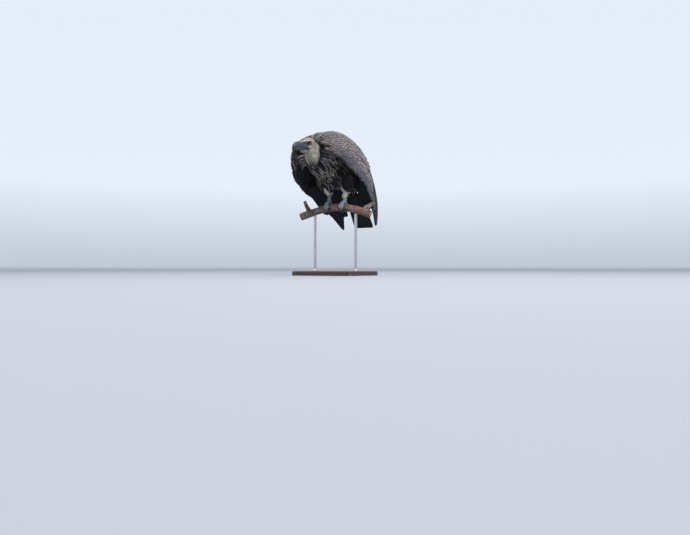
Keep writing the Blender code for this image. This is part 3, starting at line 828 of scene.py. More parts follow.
def lopsided(name, outline, left, section):
    """A long vane whose left side is a share as wide as its right."""
    return Vane(name, outline_of((0, 0.05), *((y, left * w, w) for y, w in outline)), section)


quill_vane = lopsided("quill_vane", QUILL, 0.34, WEB)
broad_vane = lopsided("broad_vane", BROAD, 0.8, WEB)
flat_vane = lopsided("flat_vane", BROAD, 0.8, FLAT_WEB)
TUFT = ((-1, -0.3), (0, 0.5), (1, -0.3))
down_vane = Vane("down_vane", outline_of((0, 0.5), (0.35, 1.0), (0.75, 0.6), (1, 0)), TUFT)

# %% [markdown]
# ## Laying feathers
# Feathers are laid like shingles. Each is rooted in the skin, rises through the coat and ends at the
# outer form, over the roots of those behind it. The line that it follows bends with the body, so the
# copies are bent by arithmetic and joined in one mesh; placing thousands by hand would take days.

# %% Bend copies of a vane along their lines
PATCH = 0.003  # how wide a feather is on the skin's unwrap


def lay(name, vane, spines, ups, half, colours):
    """One piece of feathers. Lines and up directions have some points each, colours a streak as alpha."""
    count, steps = spines.shape[:2]
    weights = read_at(np.eye(steps), vane.points[:, 1])
    along = unit(np.gradient(spines, axis=1))
    sides = unit(np.cross(along, ups))
    rises = np.cross(sides, along)
    centre = np.einsum("mk,nkc->nmc", weights, spines)
    side = np.einsum("mk,nkc->nmc", weights, sides)
    rise = np.einsum("mk,nkc->nmc", weights, rises)
    half = np.broadcast_to(half, count)[:, None]
    across = (half * vane.points[None, :, 0])[..., None]
    high = (half * vane.points[None, :, 2])[..., None]
    points = (centre + across * side + high * rise).reshape(-1, 3)
    size = len(vane.points)
    faces = (vane.faces[None] + (np.arange(count) * size)[:, None, None]).reshape(-1, 3)
    piece = mesh_of(name, points, faces)
    web = np.stack([0.5 + 0.5 * vane.points[:, 0], vane.points[:, 1]], axis=1)
    corner = vane.faces.ravel()
    add_flat(piece, "vane", np.tile(web[corner], (count, 1)))
    add_flat(piece, "OFBake", rooted_patches(spines[:, 0], web[corner]))
    paint(piece, "plumage", np.repeat(colours, size, axis=0))
    return piece


def mesh_of(name, points, faces):
    """An object from arrays of points and triangles, smooth but sharp along its thin edges."""
    data = bpy.data.meshes.new(name)
    data.vertices.add(len(points))
    data.vertices.foreach_set("co", np.asarray(points, np.float32).ravel())
    data.loops.add(faces.size)
    data.loops.foreach_set("vertex_index", np.asarray(faces, np.int32).ravel())
    data.polygons.add(len(faces))
    data.polygons.foreach_set("loop_start", np.arange(0, faces.size, 3, dtype=np.int32))
    data.update(calc_edges=True)
    data.shade_smooth()
    data.set_sharp_from_angle(angle=math.radians(75))
    made = bpy.data.objects.new(name, data)
    bpy.context.scene.collection.objects.link(made)
    return made


def add_flat(piece, name, coordinates):
    layer = piece.data.uv_layers.new(name=name)
    layer.uv.foreach_set("vector", np.asarray(coordinates, np.float32).ravel())


def rooted_patches(roots, web):
    """Each feather's flat coordinates, shrunk to a patch at its root's place on the skin."""
    centres = np.clip(flat_places(roots), PATCH, 1 - PATCH)
    return (centres[:, None, :] + PATCH * (web[None] - 0.5)).reshape(-1, 2)


def paint(piece, name, colours):
    layer = piece.data.attributes.new(name, "FLOAT_COLOR", "POINT")
    layer.data.foreach_set("color", np.asarray(colours, np.float32).ravel())


print("a feather's patch on the unwrap:", PATCH)


# %% Spread the roots and draw the lines
def scatter(places, spacing):
    """Picks places in turn, each at least that far from those already picked."""
    taken, chosen = {}, []
    cells = np.floor(places / spacing).astype(int)
    around = [(i, j, k) for i in (-1, 0, 1) for j in (-1, 0, 1) for k in (-1, 0, 1)]
    for index, (x, y, z) in enumerate(cells.tolist()):
        near = [taken[c] for i, j, k in around if (c := (x + i, y + j, z + k)) in taken]
        close = near and (((places[[n for group in near for n in group]] - places[index]) ** 2).sum(1)).min()
        if near and close < spacing**2:
            continue
        taken.setdefault((x, y, z), []).append(index)
        chosen.append(index)
    return np.array(chosen)


def places_on(piece, count, inside=None):
    """Random places on a piece, or on the part of it that is inside, evenly spread by area."""
    piece.data.calc_loop_triangles()
    corners = gathered(piece.data.loop_triangles, "vertices", 3, np.int32)
    a, b, c = np.moveaxis(points_of(piece)[corners], 1, 0)
    area = np.linalg.norm(np.cross(b - a, c - a), axis=1)
    if inside:
        area = area * inside((a + b + c) / 3)
    pick = chance.choice(len(area), count, p=area / area.sum())
    u, v = chance.random((2, count, 1))
    u, v = np.where(u + v > 1, 1 - u, u), np.where(u + v > 1, 1 - v, v)
    return a[pick] + u * (b - a)[pick] + v * (c - a)[pick]


def trail(tree, roots, flow, lengths, steps=6):
    """Lines that start at the roots and follow a flow over a surface, with the way out at each point."""
    lines, outs = [], []
    places = roots
    for _ in range(steps):
        hits = [tree.find_nearest(p) for p in places.tolist()]
        places = np.array([tuple(hit[0]) for hit in hits])
        normals = np.array([tuple(hit[1]) for hit in hits])
        lines.append(places)
        outs.append(normals)
        way = flow(places)
        way = unit(way - normals * (way * normals).sum(1, keepdims=True))
        places = places + way * (np.asarray(lengths) / (steps - 1))[:, None]
    return np.stack(lines, axis=1), np.stack(outs, axis=1)


def raised(lines, outs, root_depth, tip_height, droop=0.7):
    """Lifts lines from the skin at their roots to the outer form at their tips."""
    share = np.linspace(0, 1, lines.shape[1]) ** droop
    depth = np.asarray(root_depth).reshape(-1, 1)
    tip = np.asarray(tip_height).reshape(-1, 1)
    height = -depth + (depth + tip) * share[None]
    return lines + outs * height[..., None]


print("feather tools ready")

# %% [markdown]
# ## The lie of the coat
# Body feathers point from the bill to the tail, hang a little on the belly, and part like rays round
# the base of the neck, where the ruff opens. One field of directions says all of that.

# %% Directions over the body
NECK_BASE = np.array([0.004, -0.196, 0.215 + PERCH_TOP])
TAILWARD = np.array([0.0, 0.82, -0.57])
DOWN = np.array([0.0, 0.0, -1.0])


def coat_flow(places):
    out = places - NECK_BASE
    away = np.linalg.norm(out, axis=1, keepdims=True)
    rays = bell(away, 0.075)
    belly = np.clip((0.20 + PERCH_TOP - places[:, 2:]) / 0.12, 0, 1)
    return (1 - rays) * (TAILWARD + 0.75 * belly * DOWN) + 1.6 * rays * out / np.maximum(away, 1e-6)


def thigh_flow(places):
    return np.array([0.0, 0.25, -1.0])


print("the coat flows back along", TAILWARD)

# %% Colours over the body
BACK_BROWN = np.array([0.088, 0.075, 0.078])
# Breast, thigh and underwing darks: dark plumage made darker still, as painted shade under the body and
# wings.
BREAST_DARK_SHADED = np.array([0.0085, 0.0085, 0.0098])
FLIGHT_DARK = np.array([0.0120, 0.0128, 0.0170])
LILAC = np.array([0.100, 0.093, 0.112])
THIGH_DARK_SHADED = np.array([0.0080, 0.0080, 0.0092])
UNDERWING_DARK_SHADED = np.array([0.0080, 0.0102, 0.0140])


def patchy(places, size, seed=0.0):
    """A smooth, irregular value from -1 to 1 over space."""
    x, y, z = (np.asarray(places) / size + seed).T
    wave = np.sin(x + 1.7 * np.sin(0.8 * z)) + np.sin(1.3 * y + 1.1 * np.sin(1.2 * x)) + np.sin(0.9 * z + y)
    return wave / 3


def toned(colour, places, amount=0.16, single=0.12):
    """The colour, patchy over the body and a little different from feather to feather."""
    tone = 1 + amount * patchy(places, 0.03) + single * chance.standard_normal(len(places))
    return np.clip(np.broadcast_to(colour, (len(places), 3)) * np.maximum(tone, 0.3)[:, None], 0, 1)


def mixed(first, second, share):
    """Between two colours, by a share at each place."""
    share = np.asarray(share).reshape(-1, 1)
    return first * (1 - share) + second * share


def streaked(colours, strength):
    """Adds the strength of the pale shaft streak as a fourth value."""
    return np.column_stack([colours, np.broadcast_to(strength, len(colours))])


def speckled(share):
    """Streak strengths: that share of the feathers has a clear streak, the others hardly any."""
    return np.where(chance.random(len(share)) < share, 0.75 + 0.25 * chance.random(len(share)), 0.03)


SHOULDER_SHADE_SPOTS = ((0.064, -0.180, 0.254), (0.100, -0.218, 0.246), (-0.064, -0.180, 0.254))


def hollow(places):
    """One inside the fold between the ruff and each shoulder, where painted shade darkens the colour."""
    depth = np.zeros(len(places))
    for place in SHOULDER_SHADE_SPOTS:
        off = (places - np.array(place) - PERCH) / (0.024, 0.024, 0.010)
        depth = np.maximum(depth, falls(np.linalg.norm(off, axis=1), 0.6, 1.3))
    return depth


def in_shade(places):
    """One on the flanks, which lie dark inside the hanging wings, and zero on the breast."""
    return eased(abs(places[:, 0]), 0.046, 0.074) * falls(places[:, 2], PERCH_TOP + 0.18, PERCH_TOP + 0.26)


def plumage(places, normals):
    """The coat's colour at places on the body, for the skin and the feathers over it."""
    where = regions_at(places)
    wing = where == "wing"
    outer = 0.8 * np.sign(places[:, 0]) * normals[:, 0] + 0.6 * normals[:, 2] > 0
    shaded = in_shade(places)
    # Fewer pale streaks low on the belly darken it: partly the plumage, partly painted shade under the body.
    strength = speckled(0.33 - 0.19 * falls(places[:, 2], PERCH_TOP + 0.07, PERCH_TOP + 0.20))
    strength = strength * (1 - 0.75 * shaded)
    strength = np.where(where == "thigh", 0.8 * strength, strength)
    colours = BREAST_DARK_SHADED * (1 - 0.55 * shaded[:, None])
    colours[(where == "torso") & (normals[:, 2] > 0.3)] = BACK_BROWN * 0.8
    colours[where == "thigh"] = THIGH_DARK_SHADED
    down_wing = 0.82 * (places[:, 1] + 0.20) - 0.57 * (places[:, 2] - PERCH_TOP - 0.28)
    on_outside = mixed(BACK_BROWN, FLIGHT_DARK, eased(down_wing, 0.29, 0.33))
    colours = np.where((wing & outer)[:, None], on_outside, colours)
    # Painted shade in the folds at the shoulders.
    colours = colours * (1 - 0.85 * hollow(places)[:, None])
    colours[wing & ~outer] = FLIGHT_DARK
    strength[wing & outer] = 0.9
    strength[wing & ~outer] = 0.1
    return colours, strength


print("coat colours ready")

# %% [markdown]
# ## Colours of the bare parts
# The face is nearly bare, and its colours change from place to place: slate round the bill and the
# eye, cream on the brow, pink behind it on the crown, warm tan on the cheek, and pale olive down on the
# neck, paler along its edges as partly pale down and partly painted highlight. A painted shadow lies
# where the neck goes into the ruff, and painted shade under the brow and in the gape. The skin and the
# down on it read the same field.

# %% Face, neck and leg colours
SLATE = (0.034, 0.050, 0.064)
FACE_COLOURS = (  # from, to, reach and colour, in the head's frame, laid on in turn
    ((0.000, -0.012, 0.034), (0.000, 0.050, 0.030), 0.022, (0.190, 0.165, 0.145)),  # crown
    ((0.000, -0.030, 0.018), (0.008, -0.016, 0.028), 0.009, (0.150, 0.165, 0.150)),  # forehead
    ((0.016, -0.005, 0.032), (0.021, 0.013, 0.0335), 0.010, (0.400, 0.265, 0.255)),  # pink of the crown
    ((0.027, 0.014, 0.012), (0.029, 0.030, -0.016), 0.013, (0.420, 0.330, 0.265)),  # cheek
    ((0.024, 0.012, -0.024), (0.026, 0.030, -0.030), 0.010, (0.360, 0.320, 0.265)),  # below the ear
    ((0.014, -0.036, 0.002), (0.018, -0.018, -0.018), 0.0128, SLATE),  # before the eye
    ((0.012, -0.036, -0.020), (0.025, -0.004, -0.021), 0.0062, SLATE),  # lower jaw
    ((0.024, -0.016, 0.0035), (0.028, 0.0015, 0.0055), 0.0108, SLATE),  # round the eye
    ((0.009, -0.0360, 0.0165), (0.020, -0.018, 0.0192), 0.0056, (0.470, 0.455, 0.395)),  # front of the brow
    ((0.020, -0.016, 0.0200), (0.027, 0.001, 0.0222), 0.0046, (0.500, 0.390, 0.360)),  # back of the brow
    # The dark gape line is partly dark skin and partly painted shade in the slit of the mouth.
    ((0.016, -0.0340, -0.0106), (0.0265, -0.001, -0.0150), 0.0013, (0.010, 0.014, 0.018)),  # gape
    ((0.027, 0.001, -0.0105), (0.028, 0.005, -0.0115), 0.0030, (0.560, 0.570, 0.560)),  # pale spot
    # The near-black line under the brow is a painted shadow of the brow.
    ((0.015, -0.0290, 0.0104), (0.029, 0.005, 0.0122), 0.0037, (0.004, 0.005, 0.006)),  # under the brow
)
NECK_OLIVE = np.array([0.285, 0.278, 0.225])
NECK_PALE_LIT = np.array([0.560, 0.555, 0.480])
THROAT_PALE_LIT = np.array([0.700, 0.690, 0.620])
NECK_BASE_SHADOW = np.array([0.030, 0.031, 0.030])
LEG_BLUE = np.array([0.300, 0.332, 0.385])


def face_colour(points):
    """The colour of the bare face and the downy neck."""
    local = in_head(points)
    # Pale along the neck's edges and over its right front: partly pale down, partly painted highlight.
    colours = mixed(NECK_OLIVE, NECK_PALE_LIT, eased(abs(points[:, 0] - 0.004), 0.014, 0.030))
    colours = mixed(colours, THROAT_PALE_LIT, falls(points[:, 0], -0.018, -0.004))
    colours = colours * (1 + 0.26 * patchy(points, 0.0045) + 0.12 * patchy(points, 0.0017, 4.0))[:, None]
    # Painted shadow where the neck goes into the ruff.
    colours = mixed(colours, NECK_BASE_SHADOW, falls(points[:, 2], PERCH_TOP + 0.164, PERCH_TOP + 0.198))
    for start, end, reach, colour in FACE_COLOURS:
        share = np.clip(1.9 * lump(local, start, end, reach), 0, 1) ** 1.5
        colours = mixed(colours, np.array(colour), share)
    tone = 1 + 0.10 * patchy(points, 0.0035, 2.0) + 0.06 * patchy(points, 0.0012, 7.0)
    return np.clip(colours * tone[:, None], 0, 1)


def bareness(points):
    """One on the face and the downy neck, zero under the body's feathers."""
    local = in_head(points)
    head = falls(np.linalg.norm(local - (0, 0.004, -0.004), axis=1), 0.046, 0.060)
    neck = falls(points[:, 1], -0.190, -0.172) * eased(points[:, 2], PERCH_TOP + 0.160, PERCH_TOP + 0.176)
    neck = neck * falls(abs(points[:, 0] - 0.003), 0.036, 0.046)
    return np.maximum(head, neck * (local[:, 2] < 0.01))


print("face colours:", len(FACE_COLOURS))

# %% [markdown]
# ## The finish of a feather
# Each feather is matt, darkest in its middle, with a pale streak along the shaft, worn pale edges and
# hundreds of fine barbs that slant from the shaft to the edge. All of it is drawn in the vane's own
# flat coordinates, so it turns with every feather. The base colour comes from the coat's field.

# %% Feather finish
def feather_finish(name, streak_colour, streak_width, edge_gain=1.25, gloss=0.82, sheen=0.12):
    made = Finish(name, Roughness=gloss, Specular_IOR_Level=0.2, Sheen_Weight=sheen, Sheen_Roughness=0.5)
    across, along, _ = made.parts(made.add("UVMap", uv_map="vane"))
    aside = made.sum("ABSOLUTE", made.sum("SUBTRACT", across, 0.5))
    base, strength = made.attribute("plumage"), made.attribute("plumage", out=3)
    barbs = made.sum("SINE", made.sum("MULTIPLY_ADD", aside, 46.0, made.times(along, -95.0)))
    rough_edge = made.noise(900.0, 2)
    edge = made.spread(aside, 0.0, 1.0, 0.34, 0.49)
    shade = made.spread(made.sum("MULTIPLY_ADD", barbs, 0.22, rough_edge), 0.84, 1.18, 0.15, 0.90)
    body = made.shaded(base, shade)
    pale = made.add("VectorMath", base, (edge_gain,) * 3, operation="MULTIPLY")
    body = made.blend(made.times(edge, 0.6), body, pale)
    reach = made.spread(along, streak_width, streak_width * 0.55, 0.1, 1.0)
    inside = made.sum("SUBTRACT", reach, made.sum("MULTIPLY_ADD", rough_edge, 0.05, aside))
    streak = made.spread(inside, 0.0, 1.0, -0.035, 0.01)
    fade = made.spread(along, 0.0, 1.0, 0.10, 0.35)
    share = made.times(made.times(streak, fade), strength)
    body = made.blend(share, body, streak_colour)
    shaft = made.spread(aside, 1.0, 0.0, 0.008, 0.022)
    made.colour(made.blend(made.times(shaft, 0.35), body, (0.02, 0.016, 0.014)))
    made.roughness(made.spread(barbs, gloss - 0.08, gloss + 0.06, -1.0, 1.0))
    made.bump(made.sum("MULTIPLY_ADD", barbs, 0.5, rough_edge), 0.0004, 0.5)
    return made.material


body_feather = feather_finish("body_feather", (0.50, 0.455, 0.44), 0.115)
breast_feather = feather_finish("breast_feather", (0.68, 0.63, 0.57), 0.145, sheen=0.02)
flight_feather = feather_finish("flight_feather", (0.07, 0.06, 0.06), 0.02, 4.0, 0.66, 0.0)
print("feather finishes:", body_feather.name, breast_feather.name, flight_feather.name)

# %% Finish of down
down = Finish("down_finish", Roughness=0.9, Specular_IOR_Level=0.15, Sheen_Weight=0.35, Sheen_Roughness=0.4)
wool = down.noise(700, 3)
fluff = down.spread(wool, 0.78, 1.22, 0.25, 0.75)
down.colour(down.shaded(down.attribute("plumage"), fluff))
down.bump(wool, 0.0003, 0.4)
down_finish = down.material
print("down finish:", down_finish.name)

# %% [markdown]
# ## Undercoat
# Where the large feathers part, small dark ones show between them and never bare skin. They are
# scattered evenly over all the skin that carries feathers, and each one lies along the coat.

# %% Cover the skin with an undercoat
def keep(piece, *nodes, slot):
    """Hands a finished piece to the frame."""
    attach(piece, "root")
    if nodes:
        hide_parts(*nodes)


def lay_coat(name, vane, lines, outs, half, colours, finish, slot, *nodes):
    """Lays the feathers, gives them their finish and hands them over."""
    piece = lay(name, vane, lines, outs, half, colours)
    dress(piece, finish)
    print(name, len(lines), "feathers,", len(piece.data.polygons), "triangles")
    keep(piece, *nodes, slot=slot)


def cover(name, surface, tree, spacing, length, half, vane, finish, accept, flow=coat_flow,
          slot="brown_feather", root_depth=0.009, tip_height=-0.0005, colour=None):
    """Feathers scattered over part of a surface."""
    area = sum(p.area for p in surface.data.polygons)
    places = places_on(surface, int(5 * area / spacing**2))
    places = places[accept(places)]
    places = places[scatter(places, spacing)]
    lengths = length * (1 + 0.15 * chance.standard_normal(len(places)))
    lines, outs = trail(tree, places, flow, lengths)
    lines = raised(lines, outs, root_depth, tip_height + 0.001 * chance.random(len(places)))
    base, strength = plumage(lines[:, 0], outs[:, 0]) if colour is None else colour(lines[:, 0])
    half = half * (1 + 0.1 * chance.standard_normal(len(places)))
    lay_coat(name, vane, lines, outs, half, streaked(toned(base, lines[:, 0]), strength), finish, slot)


def near_face(places):
    """Places that belong to the head or to the bare neck under it."""
    return bareness(places) > 0.62


def on_torso(places):
    return np.isin(regions_at(places), ("torso", "thigh")) & ~near_face(places)


def in_region(region, side, above=0.0):
    """A test for places in one region, on one side of the bird and above a height."""
    def accept(places):
        return (regions_at(places) == region) & (places[:, 0] * SIGN[side] > 0) & (places[:, 2] > above)
    return accept


def plain_dark(places):
    """Nearly black below and in front, and brown on the back, with hardly a streak."""
    back = eased(places[:, 2], PERCH_TOP + 0.22, PERCH_TOP + 0.27) * eased(places[:, 1], -0.12, -0.08)
    return mixed(BREAST_DARK_SHADED, 0.8 * BACK_BROWN, back), 0.05


UNDERCOAT = (0.010, 0.030, 0.0075, round_vane, body_feather)  # spacing, length, half width, shape, finish
cover("undercoat_body", skin, skin_tree, *UNDERCOAT, on_torso, root_depth=0.0, tip_height=0.005,
      colour=plain_dark)
for side in SIDES:
    cover(f"undercoat_wing_{side}", skin, skin_tree, *UNDERCOAT, in_region("wing", side), root_depth=0.0,
          tip_height=0.0025)

# %% [markdown]
# ## Ruff, breast and belly
# From the base of the neck hang the narrow, pointed feathers of a young bird, each with a buff streak
# down its shaft. They are longest on the belly, where they hang loose over the legs.

# %% Lay the breast and the ruff
def on_trunk(places):
    return on_torso(places) & (regions_at(places) != "thigh")


def breast_side(places):
    return on_trunk(places) & (places[:, 1] < 0.135) & (places[:, 2] < PERCH_TOP + 0.30)


def ruff_colour(places):
    """Brown above and nearly black below, with a clear streak on most feathers."""
    # Painted shade in the shoulder folds darkens the colour and hides the streaks.
    fold = hollow(places)
    high = eased(places[:, 2], PERCH_TOP + 0.22, PERCH_TOP + 0.30)
    colours = mixed(BREAST_DARK_SHADED, 0.7 * BACK_BROWN, high) * (1 - 0.8 * fold[:, None])
    return colours, speckled(np.full(len(places), 0.55)) * (1 - fold)


def ruff_side(places):
    return on_trunk(places) & (((places - NECK_BASE) ** 2).sum(1) < 0.105**2)


def on_collar(places):
    """The feathered part of the neck."""
    return (regions_at(places) == "neck") & ~near_face(places)


cover("breast_feathers", torso, torso_form, 0.0078, 0.058, 0.0058, lance_vane, breast_feather, breast_side)
cover("collar_feathers", skin, skin_tree, 0.0058, 0.036, 0.0034, lance_vane, breast_feather, on_collar,
      root_depth=0.0, tip_height=0.003, colour=ruff_colour)
cover("ruff_feathers", torso, torso_form, 0.0062, 0.056, 0.0036, lance_vane, breast_feather, ruff_side,
      root_depth=0.007, tip_height=0.002, colour=ruff_colour)

# %% [markdown]
# ## The folded wings
# A folded wing is a curved plate, and its feathers lie along it in rows: tiny ones at the bend and
# along the leading edge, larger ones behind, then the long secondaries over the still longer
# primaries. Shares of the wing's length and width are the natural way to say where a feather goes.

# %% The wing's surface
LEADING = {
    "left": (
        (0.092, -0.226, 0.262), (0.136, -0.204, 0.218), (0.156, -0.130, 0.180), (0.156, -0.032, 0.136),
        (0.144, 0.062, 0.084), (0.130, 0.130, 0.020), (0.114, 0.190, -0.044), (0.098, 0.236, -0.102),
    ),
    "right": (
        (0.090, -0.222, 0.244), (0.134, -0.184, 0.188), (0.155, -0.132, 0.124), (0.158, -0.058, 0.068),
        (0.150, 0.020, 0.030), (0.140, 0.092, -0.018), (0.124, 0.162, -0.070), (0.104, 0.220, -0.122),
    ),
}
TRAILING = {
    "left": (
        (0.064, -0.196, 0.300), (0.048, -0.140, 0.330), (0.030, -0.060, 0.343), (0.016, 0.040, 0.332),
        (0.012, 0.142, 0.288), (0.018, 0.224, 0.200), (0.036, 0.274, 0.092), (0.080, 0.290, -0.044),
    ),
    "right": (
        (0.064, -0.194, 0.290), (0.052, -0.140, 0.324), (0.034, -0.060, 0.341), (0.017, 0.040, 0.333),
        (0.010, 0.140, 0.282), (0.012, 0.216, 0.188), (0.030, 0.262, 0.076), (0.080, 0.276, -0.062),
    ),
}
BULGE = {
    "left": (0.012, 0.040, 0.056, 0.058, 0.052, 0.040, 0.026, 0.008),
    "right": (0.010, 0.034, 0.054, 0.060, 0.054, 0.040, 0.026, 0.008),
}
WING_THICKNESS = (0.020, 0.026, 0.024, 0.020, 0.016, 0.011, 0.007, 0.004)
WING_LENGTH = 0.60
WING_WIDTH = 0.27
SECONDARIES_END = 0.875


def wing_face(side, t, s, sink=0.0):
    """Points of the wing at shares of its length and width. A sink of 0 is its outer face, 1 its inner."""
    step = 1e-3
    lead, back_edge = read_at(LEADING[side], t), read_at(TRAILING[side], t)
    before = read_at(LEADING[side], t - step) + read_at(TRAILING[side], t - step)
    after = read_at(LEADING[side], t + step) + read_at(TRAILING[side], t + step)
    outward = unit(np.cross(after - before, back_edge - lead))
    bulge, thick = read_at(BULGE[side], t), read_at(WING_THICKNESS, t)
    s = np.asarray(s, float)[..., None]
    lift = bulge * np.sin(math.pi * np.clip(s, 0, 1)) ** 0.8
    body = thick * (0.30 + 0.70 * np.sin(math.pi * np.clip(s, 0.02, 0.98)) ** 0.5)
    sink = np.asarray(sink, float)[..., None]
    points = lead * (1 - s) + back_edge * s + (lift - sink * body) * outward
    return (points + PERCH) * (SIGN[side], 1, 1)


def wing_lines(side, start, end, sink, steps=8):
    """Lines over the wing from starts to ends, each a share of length and of width, and the way out."""
    run = np.linspace(0, 1, steps)
    t = start[:, :1] + (end - start)[:, :1] * run
    s = start[:, 1:] + (end - start)[:, 1:] * run
    sink = np.broadcast_to(sink, t.shape)
    lines = wing_face(side, t, s, sink)
    h = 2e-3
    edge = np.clip(s, 0.03, 0.97)
    along = wing_face(side, t + h, edge, sink) - wing_face(side, t - h, edge, sink)
    across = wing_face(side, t, edge + h, sink) - wing_face(side, t, edge - h, sink)
    return lines, SIGN[side] * unit(np.cross(along, across))


print("middle of the left wing:", wing_face("left", 0.5, 0.5).round(3))

# %% [markdown]
# ## Wing coverts
# The outer face carries three sizes of covert. The small ones are laid closest, with their pale
# streaks making fine broken lines down the wing, as in a young bird. Along the leading edge they are
# plain and lilac grey. The inner face is lined with dark, loose underwing coverts.

# %% Lay the coverts
def wing_spots(side, spacing, first, last, low, high, drawn_back=0.0):
    """Even spots between two shares of the wing's length and two of its width.

    Behind the leading edge the last share is drawn back, which bares the flight feathers there."""
    count = int(6 * (last - first) * WING_LENGTH * (high - low) * WING_WIDTH / spacing**2)
    t = first + (last - first) * chance.random(count)
    s = low + (high - low) * chance.random(count)
    spots = np.stack([t, s], axis=1)
    if last > 0.5:
        spots = spots[t < last - drawn_back * np.clip((s - 0.08) / 0.26, 0, 1)]
    return spots[scatter(wing_face(side, *spots.T), spacing)]


def lilac_share(spots):
    """One on the plain grey band along the leading edge."""
    return np.clip((0.135 - spots[:, 1]) / 0.06, 0, 1) * np.clip((spots[:, 0] - 0.10) / 0.12, 0, 1)


def lay_coverts(name, side, spacing, length, half, span, width):
    spots = wing_spots(side, spacing, *span, *width, drawn_back=0.17 if width[1] > 0.5 else 0.9)
    count = len(spots)
    reach = length * (1 + 0.10 * chance.standard_normal(count)) / WING_LENGTH
    ends = spots + np.stack([reach, 0.02 + 0.02 * chance.standard_normal(count)], axis=1)
    lines, outs = wing_lines(side, spots, ends, 0.0, steps=6)
    thick = read_at(WING_THICKNESS, np.clip(spots[:, 0], 0, 1))[:, 0]
    lines = raised(lines, outs, 0.45 * thick, 0.001 * chance.random(count))
    lilac = lilac_share(spots)
    # Coverts grow darker towards the wing's back edge: partly darker brown plumage, partly painted shade.
    behind = np.clip((spots[:, 1:] - 0.36) / 0.3, 0, 1)
    # Painted shade in the shoulder folds.
    fold = hollow(lines[:, 2])
    base = mixed(BACK_BROWN, LILAC, lilac) * (1 - 0.38 * behind) * (1 - 0.8 * fold[:, None])
    clear = np.clip(0.72 + 0.30 * chance.standard_normal(count), 0.15, 1.0)
    colours = streaked(toned(base, lines[:, 0], 0.20, 0.16), clear * (1 - lilac) * (1 - fold))
    half = half * (1 + 0.08 * chance.standard_normal(count))
    lay_coat(name, round_vane, lines, outs, half, colours, body_feather, "brown_feather")


PALE_LINING = (-0.112, -0.168, 0.236)  # the middle of a pale patch inside the right wing's bend
LINING_TONE = np.array([0.190, 0.170, 0.175])


def lay_underwing(side):
    spots = wing_spots(side, 0.0115, -0.02, 0.58, 0.02, 0.97)
    count = len(spots)
    reach = 0.050 * (1 + 0.15 * chance.standard_normal(count)) / WING_LENGTH
    ends = spots + np.stack([reach, 0.03 * chance.standard_normal(count)], axis=1)
    lines, outs = wing_lines(side, spots, ends, 1.0, steps=6)
    lines = raised(lines, -outs, 0.005, 0.0015 * chance.random(count))
    bend = falls(spots[:, 0], 0.10, 0.24) * falls(spots[:, 1], 0.25, 0.42)
    lining = np.exp(-((((lines[:, 2] - np.array(PALE_LINING) - PERCH) / 0.022) ** 2).sum(1)))
    base = mixed(mixed(UNDERWING_DARK_SHADED, 0.85 * BACK_BROWN, bend), LINING_TONE, lining)
    # Painted shade in the shoulder folds.
    base = base * (1 - 0.85 * hollow(lines[:, 2])[:, None])
    tones = toned(base, lines[:, 0], single=0.2)
    colours = streaked(tones, 0.04 + 0.9 * bend * (chance.random(count) < 0.7))
    lay_coat(f"underwing_{side}", lance_vane, lines, -outs, 0.0085, colours, breast_feather, "dark_feather")


COVERT_ROWS = (  # spacing, length, half width, and the shares of the wing's length and width they cover
    ("greater", 0.0160, 0.095, 0.0140, (0.34, 0.58), (0.04, 0.97)),
    ("median", 0.0112, 0.056, 0.0098, (0.12, 0.46), (0.03, 0.97)),
    ("lesser", 0.0076, 0.032, 0.0064, (-0.02, 0.28), (0.01, 0.98)),
    ("edge", 0.0070, 0.028, 0.0058, (0.0, 0.78), (0.0, 0.14)),
)
for side in SIDES:
    for row, *sizes in COVERT_ROWS:
        lay_coverts(f"{row}_coverts_{side}", side, *sizes)
    lay_underwing(side)

# %% [markdown]
# ## Flight feathers
# Ten primaries reach to the tip of the folded wing, with the outermost one lowest, and the secondaries
# lie over them like a closed fan. Each is one long, stiff, lopsided vane. They are stacked through the
# thickness of the wing, so that none cuts through its neighbour.

# %% Lay the flight feathers
def lay_quills(name, side, starts, ends, half, sinks, vane, tilt=0.0):
    """Long feathers in a row; a tilt lifts each one's outer edge off the feather beside it."""
    root_share = (1 - np.linspace(0, 1, 10)) ** 2
    deep = sinks[:, None] + (1.0 - sinks)[:, None] * root_share * 0.7
    lines, outs = wing_lines(side, starts, ends, deep, steps=10)
    outs = unit(outs + tilt * unit(np.gradient(lines, axis=0)))
    colours = streaked(toned(FLIGHT_DARK, lines[:, 0], 0.1, 0.30), 0.5)
    lay_coat(f"{name}_{side}", vane, lines, outs, half, colours, flight_feather, "dark_feather",
             f"wing_{side}_{name}")


order = np.linspace(0, 1, 10)  # from the outermost primary to the innermost
PRIMARIES = (
    np.stack([0.50 + 0 * order, 0.06 + 0.34 * order], axis=1),
    np.stack([1.0 - 0.115 * order**1.5 - 0.02 * order, 0.030 + 0.36 * order], axis=1),
    0.021 + 0.002 * order, 0.92 - 0.62 * order, quill_vane,
)
order = np.linspace(0, 1, 17)  # from the secondary beside the primaries to the one on the back
reach = SECONDARIES_END - 0.035 * abs(order - 0.35) ** 1.5 - 0.05 * np.clip(order - 0.75, 0, 1)
SECONDARIES = (
    np.stack([0.42 - 0.03 * order, 0.40 + 0.52 * order], axis=1),
    np.stack([reach - 0.008 * (1 + np.sin(41.0 * order)), 0.49 + 0.34 * order], axis=1),
    0.027, 0.78 - 0.73 * order, flat_vane, 0.06,
)
for side in SIDES:
    lay_quills("primaries", side, *PRIMARIES)
    lay_quills("secondaries", side, *SECONDARIES)

# %% [markdown]
# ## Inner wing
# Under each folded wing hang long dark feathers from the wing's root, which close the space between
# the flank and the wing. They form a loose fan: the first ones lie along the wing's lower edge and the
# last ones beside the tail.

